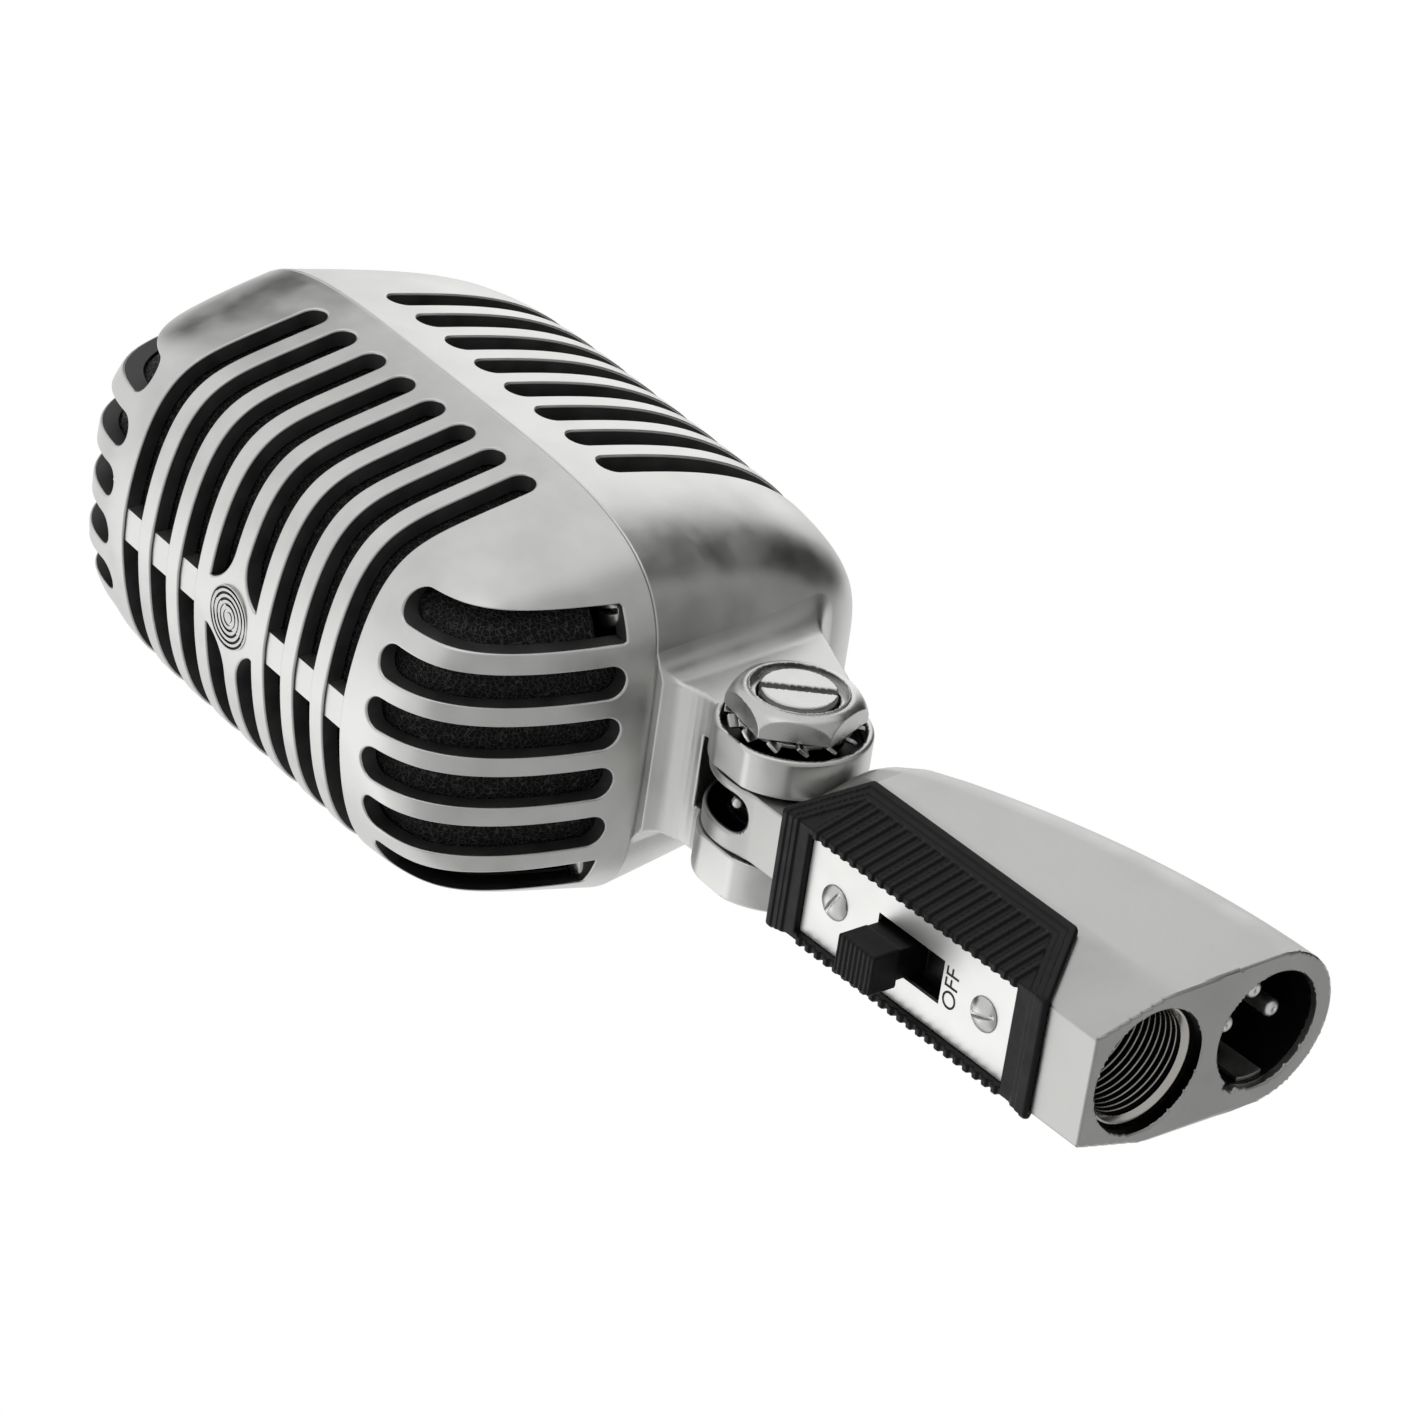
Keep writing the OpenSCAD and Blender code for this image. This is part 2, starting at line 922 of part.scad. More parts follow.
module trim_outline() {
  front = front_y - trim_t + 0.1;
  polygon([
    [-shoulder_x - 0.9, 0.5], [-front_half - 0.75, front], [front_half + 0.75, front],
    [shoulder_x + 0.9, 0.5], [0, 0.5]
  ]);
}

// The trim's two ends slope in towards its wings
module trim_profile() {
  wing_low = trim_low + 7.4;
  wing_high = trim_high - 3.6;
  polygon([[-20, trim_low], [front_y, trim_low], [0.5, wing_low], [0.5, wing_high],
           [front_y, trim_high], [-20, trim_high]]);
}

// The trim's tray sinks into the front of the base, less deeply beside the stand insert
module tray(clear) {
  box([-tray_half - clear, -20, tray_low - clear], [tray_half + clear, tray_foot_back + clear, tray_high + clear]);
  box([-tray_half - clear, -20, tray_foot - clear], [tray_half + clear, tray_back - fit + clear, tray_high + clear]);
}

module trim_ribs() {
  first = (trim_low + trim_high) / 2 - (rib_count - 1) * rib_pitch / 2;
  for (i = [0:rib_count - 1], m = [0, 1])
    mirror([m, 0, 0])
      translate([0, 0, first + i * rib_pitch - 0.45])
        linear_extrude(height = 0.9)
          polygon([[7.7, -9.9], [8.3, -10.4], [9.05, -8.9], [11.2, -1.6], [10.4, -1.6]]);
}

module escutcheon() {
  color("black")
    base_pose()
      difference() {
        union() {
          intersection() {
            linear_extrude(height = base_h)
              trim_outline();
            translate([-20, 0, 0])
              rotate([90, 0, 90])
                linear_extrude(height = 40)
                  trim_profile();
          }
          trim_ribs();
        }
        difference() {
          translate([0, 0, -1])
            linear_extrude(height = base_h + 5)
              polygon([
                [-shoulder_x - fit - 0.2, 2], [-shoulder_x - fit, shoulder_y], [-front_half - fit, front_y - fit],
                [front_half + fit, front_y - fit], [shoulder_x + fit, shoulder_y], [shoulder_x + fit + 0.2, 2]
              ]);
          tray(0);
        }
        box([-plate_half - fit, -20, plate_low - fit], [plate_half + fit, plate_front + plate_t, plate_high + fit]);
        box([-slot_half, -20, slot_low], [slot_half, 0, slot_high]);
        trim_screw_bars(1.3, -20, 0);
      }
}

module trim_screw_bars(r, y0, y1) {
  for (z = [trim_screw_low, trim_screw_high])
    translate([0, 0, z])
      bar_y(r, y0, y1);
}

module nameplate() {
  color("whitesmoke")
    base_pose()
      difference() {
        box([-plate_half, plate_front, plate_low], [plate_half, plate_front + plate_t, plate_high]);
        box([-slot_half, -20, slot_low], [slot_half, 0, slot_high]);
        trim_screw_bars(1.3, -20, 0);
      }
}

module nameplate_screws() {
  color("gainsboro")
    base_pose()
      difference() {
        union() {
          trim_screw_bars(2.4, plate_front - 1, plate_front);
          trim_screw_bars(1.15, plate_front, frame_back + 1.2);
        }
        for (z = [trim_screw_low, trim_screw_high])
          translate([0, 0, z])
            rotate([0, 20, 0])
              box([-3, plate_front - 2, -0.35], [3, plate_front - 0.4, 0.35]);
      }
}

// ---- switch ----

frame_front = tray_back;
frame_back = frame_front + 0.8;
frame_half = 5.2;
frame_low = trim_screw_low - 1.6;
frame_high = trim_screw_high + 2.2;
well_bottom = slot_low - travel - 1;
well_top = neck_high + travel + 2;
block_front = -4.3;

module switch_frame() {
  color("gainsboro")
    base_pose()
      difference() {
        union() {
          box([-frame_half, frame_front, frame_low], [frame_half, frame_back, frame_high]);
          for (m = [0, 1])
            mirror([m, 0, 0])
              box([frame_half - 0.7, frame_front, well_bottom - 0.7], [frame_half, -1, well_top + 0.7]);
        }
        box([-frame_half + 0.7, frame_front - 1, well_bottom], [frame_half - 0.7, 0, well_top]);
        trim_screw_bars(1.2, -20, 0);
      }
}

module switch_base() {
  color("saddlebrown")
    base_pose()
      difference() {
        box([-frame_half + 0.7, block_front, well_bottom], [frame_half - 0.7, -1.2, well_top]);
        for (z = terminal_places)
          translate([0, 0, z])
            box([-1.3, -5, -0.35], [1.3, 0, 0.35]);
      }
}

terminal_places = [well_bottom + 4, (well_bottom + well_top) / 2, well_top - 4];

module switch_contacts() {
  color("gold")
    base_pose()
      for (z = terminal_places)
        translate([0, 0, z]) {
          box([-1.2, block_front, -0.3], [1.2, 1, 0.3]);
          box([-1.2, block_front - 0.3, -1.2], [1.2, block_front, 1.2]);
        }
}

module base_leads() {
  wire_z = cavity_low + 5.5;
  back = 2.4;
  color("firebrick")
    base_pose()
      for (i = [0, 1]) {
        x = i * 3 - 1.5;
        z = terminal_places[i];
        lead([[x, socket_y, socket_deep + 2.7], [x, socket_y, wire_z], [x, back, wire_z],
              [x, back, z], [x / 3, back, z], [x / 3, 1.7, z]], lead_r);
      }
}

module switch_button() {
  color("black")
    base_pose()
      difference() {
        union() {
          box([-button_half, button_front, button_low], [button_half, -12.2, button_high]);
          box([-button_half + 0.6, -12.3, neck_low], [button_half - 0.6, -6, neck_high]);
          box([-frame_half + 1.1, -7, slot_low - 0.4], [frame_half - 1.1, -6, well_top - 0.6]);
        }
        for (z = [button_low + 1.1 : 1.1 : button_high - 1])
          box([-button_half - 1, button_front - 1, z - 0.25], [button_half + 1, button_front + 0.4, z + 0.25]);
      }
}

module sliding_contact() {
  mid = (neck_low + neck_high) / 2;
  color("gold")
    base_pose() {
      box([-1.6, -6, mid - 4], [1.6, -5.6, mid + 4]);
      box([-1.2, -5.6, mid - 4], [1.2, block_front - 0.35, mid - 3]);
      box([-1.2, -5.6, mid + 3], [1.2, block_front - 0.35, mid + 4]);
    }
}

// ---- the part ----

front_grille();
rear_shell();
emblem();
front_foam();
rear_foam();
case_screws();
capsule_housing();
capsule_cap();
diaphragm();
voice_coil();
top_plate();
pole_piece();
magnet();
magnet_yoke();
resonator_cup();
shock_ring();
cartridge_bracket();
bracket_screws();
transformer_core();
transformer_coil();
head_leads();
pivot_screw();
pivot_nut();
lock_washer();
friction_washers();
base_housing();
thread_insert();
connector_insulator();
connector_pins();
ground_contact();
guide_pin();
escutcheon();
nameplate();
nameplate_screws();
switch_frame();
switch_base();
switch_contacts();
base_leads();
switch_button();
sliding_contact();
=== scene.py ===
"""Vintage slotted-grille dynamic microphone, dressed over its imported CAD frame.

Shapes are worked out in millimetres, in two frames that both have +Z up and the front at -Y:
the foot frame starts at the middle of the stand hole on the foot, and the head frame starts
at the swivel's axis and leans back with the head.
"""

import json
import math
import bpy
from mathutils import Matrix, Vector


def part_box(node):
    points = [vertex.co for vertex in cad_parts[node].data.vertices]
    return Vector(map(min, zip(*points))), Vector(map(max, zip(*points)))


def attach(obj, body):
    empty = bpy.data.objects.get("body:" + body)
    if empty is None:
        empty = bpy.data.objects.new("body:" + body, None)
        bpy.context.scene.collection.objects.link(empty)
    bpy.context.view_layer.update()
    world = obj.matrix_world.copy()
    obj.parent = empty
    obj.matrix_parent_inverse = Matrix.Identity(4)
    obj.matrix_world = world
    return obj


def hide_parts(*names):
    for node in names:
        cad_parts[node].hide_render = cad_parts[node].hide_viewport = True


bl_info = {
    "name": "Slotted-grille dynamic microphone",
    "version": (1, 0, 0),
    "blender": (4, 5, 0),
    "location": "View3D > Sidebar > Microphone",
    "description": "Builds a slotted-grille dynamic microphone over its CAD frame",
    "category": "Add Mesh",
}

import bpy
import numpy as np
from bpy.props import FloatProperty, FloatVectorProperty, IntProperty, PointerProperty
from mathutils import Vector
from mathutils.geometry import delaunay_2d_cdt

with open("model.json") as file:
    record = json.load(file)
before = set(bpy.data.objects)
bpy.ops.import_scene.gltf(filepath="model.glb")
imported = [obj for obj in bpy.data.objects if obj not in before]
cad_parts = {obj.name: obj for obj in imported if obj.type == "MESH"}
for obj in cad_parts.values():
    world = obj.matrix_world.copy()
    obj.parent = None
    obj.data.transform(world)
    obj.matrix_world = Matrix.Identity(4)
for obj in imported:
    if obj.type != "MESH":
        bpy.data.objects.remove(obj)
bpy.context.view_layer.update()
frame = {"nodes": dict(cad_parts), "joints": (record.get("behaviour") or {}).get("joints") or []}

MM = 0.001
HEAD = "head"
BASE = "base"
SLIDER = "switch_slider"
TILT = next(joint for joint in frame["joints"] if joint["name"] == "head_tilt")
PIVOT = np.array(TILT["pos_m"]) / MM
FOOT = np.array([0.0, 0.0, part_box("base_housing")[0].z / MM])


# ---- sizes and colours that a user may change ----


def linear(code):
    """An sRGB hex colour as linear light: c/12.92 below 0.04045, else ((c+0.055)/1.055)^2.4."""
    c = np.array([int(code[i : i + 2], 16) for i in (1, 3, 5)]) / 255
    return tuple(np.where(c <= 0.04045, c / 12.92, ((c + 0.055) / 1.055) ** 2.4))


def size(name, description, default):
    """A length whose default is given in millimetres."""
    texts = {"name": name, "description": description}
    return FloatProperty(**texts, default=default * MM, min=0.0, unit="LENGTH", precision=5)


def colour(name, description, code):
    """A colour whose default is given as an sRGB hex value."""
    texts = {"name": name, "description": description}
    return FloatVectorProperty(
        **texts, default=linear(code), size=3, min=0, max=1, subtype="COLOR"
    )


class HeadSizes(bpy.types.PropertyGroup):
    """Sizes of the two head castings, their slots, screws and emblem"""

    width: size("Width", "Width of the head at its seam", 57.4)
    height: size("Height", "Height of the two head castings", 99.17)
    front_depth: size("Front depth", "Depth of the front casting ahead of the seam", 31.27)
    rear_depth: size("Rear depth", "Depth of the rear casting behind the seam", 45.57)
    wall: size("Wall", "Wall thickness of both castings", 2.4)
    seam: size("Seam", "Distance of the seam ahead of the swivel's axis", 9.7)
    foot: size("Foot", "Height of the head's foot above the swivel's axis", 16.2)
    lean: FloatProperty(
        name="Lean",
        description="Lean of the head at rest",
        default=math.radians(3.5),
        subtype="ANGLE",
    )
    slot_pitch: size("Slot pitch", "Spacing of the level slots", 7.0)
    slot_height: size("Slot height", "Height of each level slot", 4.05)
    band: size("Band", "Half width of the upright band at the middle", 2.35)
    upright_pitch: size("Upright pitch", "Spacing of the upright slots", 7.27)
    upright_width: size("Upright width", "Width of each upright slot", 4.5)
    upright_reach: size("Upright reach", "Height that the upright slots climb from the foot", 18.4)
    edge: size("Edge", "Rounding of the edges round the slots", 0.3)
    emblem: size("Emblem", "Radius of the round emblem", 4.4)
    screw_head: size("Case screw head", "Radius of the heads of the case screws", 2.3)


class SwivelSizes(bpy.types.PropertyGroup):
    """Sizes of the knuckle, the fork round it, the screw and the nut"""

    screw: size("Screw", "Radius of the pivot screw", 5.2)
    knuckle: size("Knuckle", "Half width of the knuckle on the base", 4.7)
    knuckle_radius: size("Knuckle radius", "Radius of the knuckle", 9.8)
    lug: size("Lug", "Radius of the two fork lugs", 10.2)
    pocket: size("Pocket", "Radius of the pocket under the nut", 9.2)
    offset: size("Offset", "Sideways offset of the knuckle", 0.4)
    gap: size("Gap", "Gap between the knuckle and each lug", 0.4)
    nut: size("Nut", "Radius of the nut's corners", 9.05)
    reach: size("Reach", "Distance from the middle to each lug's outer face", 11.0)
    fillet: size("Fillet", "Concave rounding where the fork runs into the casting", 3.6)


class BaseSizes(bpy.types.PropertyGroup):
    """Sizes of the base casting, its stand hole and its connector socket"""

    height: size("Height", "Height of the base below the knuckle", 59.0)
    front: size("Front", "Distance of the base's front face ahead of the stand hole", 10.03)
    front_half: size("Front half", "Half width of the front face", 7.7)
    back: size("Back", "Radius of the base's rounded back", 10.75)
    socket_y: size("Socket place", "Distance from the stand hole to the socket", 19.6)
    socket: size("Socket", "Radius of the connector socket", 8.05)
    mouth: size("Mouth", "Radius of the mouth of the stand hole", 8.5)
    recess: size("Recess", "Depth of the thread insert inside the foot", 1.75)
    thread: size("Thread", "Radius of the threaded wall", 7.5)
    thread_depth: size("Thread depth", "Depth of the threaded wall", 13.6)
    thread_pitch: size("Thread pitch", "Pitch of the stand thread", 0.94)


class TrimSizes(bpy.types.PropertyGroup):
    """Sizes of the moulded trim, its ribs, its plate and the plate's screws"""

    low: size("Low end", "Height of the trim's lower end", 8.3)
    high: size("High end", "Height of the trim's upper end", 57.4)
    rib_pitch: size("Rib pitch", "Spacing of the ribs on the flanks", 1.75)
    plate_half: size("Plate half", "Half width of the plate", 6.93)
    screw_head: size("Screw head", "Radius of the plate's screw heads", 2.4)
    ribs: IntProperty(name="Ribs", description="Number of ribs on each flank", default=22, min=1)


class Finishes(bpy.types.PropertyGroup):
    """Colours of the finishes"""

    casting: colour("Head castings", "Satin lacquer on the head castings", "#CFCFCD")
    # Painted shade: the base's colour is the castings' lacquer painted darker
    base: colour("Base casting", "Satin lacquer on the base casting", "#B6B6B4")
    steel: colour("Bright steel", "Nickel-plated nuts, screws and pins", "#C6C6C4")
    contact: colour("Contacts", "Silver-plated pins and ground contact", "#EDEDEB")
    thread: colour("Thread", "Nickel-plated thread insert", "#CFCCC6")
    plastic: colour("Plastic", "Moulded trim and switch button", "#080809")
    foam: colour("Foam", "Open-cell foam behind the grille", "#0B0B0B")
    plate: colour("Plate", "Satin silver plate", "#DEDEDC")
    emblem: colour("Emblem", "Raised faces of the emblem", "#C4C4C2")
    # Painted shade for the recesses of the castings, nut, thread and emblem
    patina: colour("Patina", "Darkened recesses of the castings, thread and emblem", "#101010")


def value(group, name):
    """A size in millimetres."""
    return getattr(getattr(bpy.context.scene, "mic_" + group), name) / MM


# ---- frames ----


def from_foot(p):
    """Puts points of the foot frame in their place."""
    return p + FOOT


def from_head(p):
    """Puts points of the head frame in their place, leaning with the head about the swivel."""
    a = -bpy.context.scene.mic_head.lean
    lean = [[1, 0, 0], [0, math.cos(a), -math.sin(a)], [0, math.sin(a), math.cos(a)]]
    return p @ np.array(lean).T + PIVOT


PLACES = {HEAD: from_head, BASE: from_foot, SLIDER: from_foot}


# ---- meshes ----


# Points nearer than this many millimetres become one
WELD = 2e-4


def unit(v):
    """Vectors along the last axis, made one long."""
    return v / np.maximum(np.linalg.norm(v, axis=-1, keepdims=True), 1e-12)


class Shape:
    """Points, faces and shading directions collected patch by patch, in millimetres."""

    def __init__(self):
        self.points, self.normals, self.dark, self.count = [], [], [], 0
        self.quads, self.tris = [np.zeros((0, 4), int)], [np.zeros((0, 3), int)]

    def add(self, points, normals, quads=None, tris=None, dark=False):
        """Adds a patch. Faces whose points are all dark take the piece's second material."""
        points, normals = points.reshape(-1, 3), normals.reshape(-1, 3)
        self.points.append(points)
        self.dark.append(np.broadcast_to(dark, len(points)).copy())
        self.normals.append(unit(normals))
        if quads is not None:
            self.quads.append(quads.reshape(-1, 4) + self.count)
        if tris is not None:
            self.tris.append(tris + self.count)
        self.count += len(points)

    def grid(self, points, normals=None, wrap=False, dark=False):
        """Adds a patch given in rows and columns. wrap joins the last column to the first."""
        rows, cols = points.shape[:2]
        if normals is None:
            normals = grid_normals(points, wrap)
        steps = cols if wrap else cols - 1
        r, c = np.meshgrid(np.arange(rows - 1), np.arange(steps), indexing="ij")
        d = (c + 1) % cols
        quads = np.stack([r * cols + c, r * cols + d, (r + 1) * cols + d, (r + 1) * cols + c], -1)
        self.add(points, normals, quads=quads, dark=dark)

    def include(self, other, move=lambda p: p, turn=lambda v: v):
        """Adds another shape, with its points moved and its normals turned."""
        points, normals, quads, tris, dark = (
            np.concatenate(patches)
            for patches in (other.points, other.normals, other.quads, other.tris, other.dark)
        )
        self.add(move(points), turn(normals), quads, tris, dark)

    def mesh(self, name, place):
        """The shape as a mesh, put in its place.

        Points that coincide are welded, a quad with one pair of them becomes a triangle, faces
        turn the way their normals point, and each corner keeps its normal.
        """
        points = place(np.concatenate(self.points))
        normals = place(np.concatenate(self.normals)) - place(np.zeros((1, 3)))
        quads, tris = np.concatenate(self.quads), np.concatenate(self.tris)
        cells = np.round(points / WELD)
        _, first, weld = np.unique(cells, axis=0, return_index=True, return_inverse=True)
        weld = weld.ravel()
        same = weld[quads] == weld[np.roll(quads, -1, 1)]
        for i in range(4):
            keep = [j for j in range(4) if j != (i + 1) % 4]
            tris = np.concatenate([tris, quads[same[:, i] & (same.sum(1) == 1)][:, keep]])
        quads = quads[~same.any(1)]
        w = weld[tris]
        tris = tris[(w[:, 0] != w[:, 1]) & (w[:, 1] != w[:, 2]) & (w[:, 2] != w[:, 0])]
        faces = []
        for f in (quads, tris):
            a, b, c = points[f[:, 0]], points[f[:, 1]], points[f[:, 2]]
            across = np.cross(b - a, c - a)
            if f.shape[1] == 4:
                across = np.cross(c - a, points[f[:, 3]] - b)
            back = (across * normals[f].sum(1)).sum(1) < 0
            faces.append(np.where(back[:, None], f[:, ::-1], f))
        corners = np.concatenate([f.ravel() for f in faces])
        sizes = np.concatenate([np.full(len(f), f.shape[1]) for f in faces])
        me = bpy.data.meshes.new(name)
        me.vertices.add(len(first))
        me.vertices.foreach_set("co", (points[first] * MM).ravel().astype(np.float32))
        me.loops.add(len(corners))
        me.loops.foreach_set("vertex_index", weld[corners].astype(np.int32))
        me.polygons.add(len(sizes))
        starts = np.concatenate([[0], np.cumsum(sizes)[:-1]])
        me.polygons.foreach_set("loop_start", starts.astype(np.int32))
        me.polygons.foreach_set("use_smooth", np.ones(len(sizes), bool))
        dark = np.concatenate(self.dark)
        second = np.concatenate([dark[f].all(1) for f in faces])
        me.polygons.foreach_set("material_index", second.astype(np.int32))
        me.update(calc_edges=True)
        me.normals_split_custom_set(normals[corners].astype(np.float32))
        return me


def grid_normals(points, wrap):
    """Normals of a patch from the differences between its rows and columns."""
    down = np.gradient(points, axis=0)
    if wrap:
        across = np.roll(points, -1, 1) - np.roll(points, 1, 1)
    else:
        across = np.gradient(points, axis=1)
    return unit(np.cross(across, down))


def add_piece(name, shape, body, slot, replaced, *materials):
    """Makes a finished object whose place is in its mesh, and ties it to its body. The slot that it
    is given is not used.
    """
    me = shape.mesh(name, PLACES[body])
    for material in materials:
        me.materials.append(material)
    piece = bpy.data.objects.new(name, me)
    bpy.context.scene.collection.objects.link(piece)
    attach(piece, body)
    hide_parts(replaced)
    return piece


def turned(profile, steps, crease=35):
    """A profile of (radius, height) points carried round the Z axis.

    Each stretch of the profile between two corners sharper than the crease angle is its own
    patch, so that corners stay crisp. The outside lies to the right of the way the profile runs.
    """
    profile = np.array(profile, float)
    step = unit(np.diff(profile, axis=0))
    bends = (step[:-1] * step[1:]).sum(1) < math.cos(math.radians(crease))
    sharp = [0, *(np.flatnonzero(bends) + 1), len(profile) - 1]
    turn = np.linspace(0, 2 * math.pi, steps, endpoint=False)
    shape = Shape()
    for start, end in zip(sharp[:-1], sharp[1:]):
        part, way = profile[start : end + 1], step[start:end]
        side = np.stack([way[:, 1], -way[:, 0]], 1)
        side = unit(np.vstack([side[:1], side[:-1] + side[1:], side[-1:]]))
        p, n = (
            np.stack([v[:, :1] * np.cos(turn), v[:, :1] * np.sin(turn), v[:, 1:] + 0 * turn], -1)
            for v in (part, side)
        )
        shape.grid(p, n, wrap=True)
    return shape


def arc(centre, radius, start, end, steps):
    """Points on an arc from one angle to another, in degrees."""
    a = np.radians(np.linspace(start, end, steps + 1))
    return np.stack([centre[0] + radius * np.cos(a), centre[1] + radius * np.sin(a)], 1).tolist()


# ---- solids given by a distance function ----


def join(a, b, r=0.0):
    """Union of two distances with a concave rounding of radius r."""
    if r == 0:
        return np.minimum(a, b)
    return np.maximum(r, np.minimum(a, b)) - np.hypot(np.maximum(r - a, 0), np.maximum(r - b, 0))


def meet(a, b, r=0.0):
    """Intersection of two distances with a convex rounding of radius r."""
    if r == 0:
        return np.maximum(a, b)
    return np.minimum(-r, np.maximum(a, b)) + np.hypot(np.maximum(r + a, 0), np.maximum(r + b, 0))


def cut(a, b, r=0.0):
    """The first solid less the second, with the edge rounded."""
    return meet(a, -b, r)


def block(p, low, high):
    """Distance to a box: the largest of its six face distances, exact near its faces."""
    return np.max(np.maximum(np.array(low) - p, p - np.array(high)), -1)


def sculpted(distance, low, high, cell):
    """Meshes the surface where distance(p) is zero.

    Each cell of a cubic grid that the surface crosses holds one point, the mean of the
    crossings on its edges, moved onto the surface along the gradient. Each grid edge that
    the surface crosses gives one face between the four cells round it. The gradient is also
    the shading normal.
    """
    low, high = np.array(low, float), np.array(high, float)
    n = np.ceil((high - low) / cell).astype(int) + 1
    axes = [low[i] + cell * np.arange(n[i]) for i in range(3)]
    d = np.stack(
        [distance(np.stack(np.meshgrid(axes[0][i : i + 1], axes[1], axes[2], indexing="ij"), -1))[0]
         for i in range(n[0])]
    )
    total, hits = np.zeros(tuple(n - 1) + (3,)), np.zeros(tuple(n - 1))
    inside = d < 0
    base = np.stack(np.meshgrid(*[a[:-1] for a in axes], indexing="ij"), -1)
    for axis in range(3):
        others = [i for i in range(3) if i != axis]
        for u in (0, 1):
            for v in (0, 1):
                at = [slice(None)] * 3
                at[axis] = slice(0, -1)
                for k, o in zip((u, v), others):
                    at[o] = slice(k, n[o] - 1 + k)
                to = list(at)
                to[axis] = slice(1, None)
                a, b = d[tuple(at)], d[tuple(to)]
                crossed = (a < 0) != (b < 0)
                share = np.where(crossed, a / np.where(crossed, a - b, 1), 0)
                offset = np.zeros(a.shape + (3,))
                offset[..., axis] = share
                offset[..., others[0]] = u
                offset[..., others[1]] = v
                total += np.where(crossed[..., None], base + offset * cell, 0)
                hits += crossed
    active = hits > 0
    number = np.full(active.shape, -1)
    number[active] = np.arange(active.sum())
    points = total[active] / hits[active][:, None]
    start = points.copy()
    for _ in range(5):
        g = gradient(distance, points)
        move = g * (distance(points) / np.maximum((g * g).sum(-1), 0.05))[:, None]
        points = points - move
        away = points - start
        reach = np.linalg.norm(away, axis=1, keepdims=True)
        points = start + away * np.minimum(1, 0.9 * cell / np.maximum(reach, 1e-9))
    quads = []
    for axis in range(3):
        o = [i for i in range(3) if i != axis]
        at, to = [slice(1, -1)] * 3, [slice(1, -1)] * 3
        at[axis], to[axis] = slice(0, -1), slice(1, None)
        edge = np.argwhere(inside[tuple(at)] != inside[tuple(to)])
        edge[:, o] += 1
        ring = []
        for u, v in ((0, 0), (1, 0), (1, 1), (0, 1)):
            c = edge.copy()
            c[:, o[0]] -= u
            c[:, o[1]] -= v
            ring.append(number[c[:, 0], c[:, 1], c[:, 2]])
        quads.append(np.stack(ring, 1))
    shape = Shape()
    shape.add(points, unit(gradient(distance, points)), quads=np.concatenate(quads))
    return shape


def gradient(distance, p, h=0.02):
    """Central differences of the distance along the three axes."""
    steps = np.eye(3) * h
    return np.stack([(distance(p + s) - distance(p - s)) / (2 * h) for s in steps], -1)


# ---- the two head castings ----


# The section's exponent at the seam, and how much it grows towards the foot of each half
OUTLINE = 4.35
SQUARER = {-1: 3.0, 1: 0.0}

# a, p and q of each half's width and of its height
SIDES = {
    -1: ((0.25, 8.8, 1.5), (0.04, 2.2, 8.0)),
    1: ((0.26, 4.06, 2.0), (0.107, 8.3, 2.7)),
}

# A length in shares that is outside the casting from anywhere inside it, and how many times
# the way there is halved to meet the surface
FAR_OUT = 2.2
HALVINGS = 46

# Rounding of the castings' outer edge at the seam, spacing of the points along the seam and
# along a slot's edge, and spacing of the skin's points on its chart in radians
SEAM_EDGE, SEAM_SPACING, SLOT_SPACING = 0.3, 0.9, 0.5
MESH_STEP = 0.024

# Where the right case screw is across and up, and how far the bosses reach from the seam
CASE_SCREW = (18.3, 22.3)
FRONT_BOSS = 3.4
REAR_BOSS = 5.0

# The nut's two ends and the floor of its pocket from the middle, and the radius of its hub
NUT = (12.4, 16.0)
POCKET_FLOOR = 8.5
HUB = 6.7

# Where the plate's printed face is along Y
PLATE_FACE = -9.53

# The middle of the cable slot through the knuckle, and the inner radii of the emblem's rings
CABLE_SLOT = 1.2
EMBLEM_RINGS = (0.75, 1.55, 2.35, 3.15)

# Distances from the seam at which the front's and the rear's level slots and all the upright
# slots end, how much further the front's top slots reach, and how much less the outermost ones
FRONT_END, REAR_END, UPRIGHT_END = 4.0, 6.1, 4.2
TOP_MORE, OUTER_LESS = 0.8, 0.5

# Radius of the corners of the outermost slots of the foot, where they meet the seam
SQUARE_CORNER = 0.3


def fan(first, last, count):
    """The cosine and sine of even angles from first to last, in degrees, and zeros."""
    a = np.radians(np.linspace(first, last, count))
    return np.cos(a), np.sin(a), 0 * a


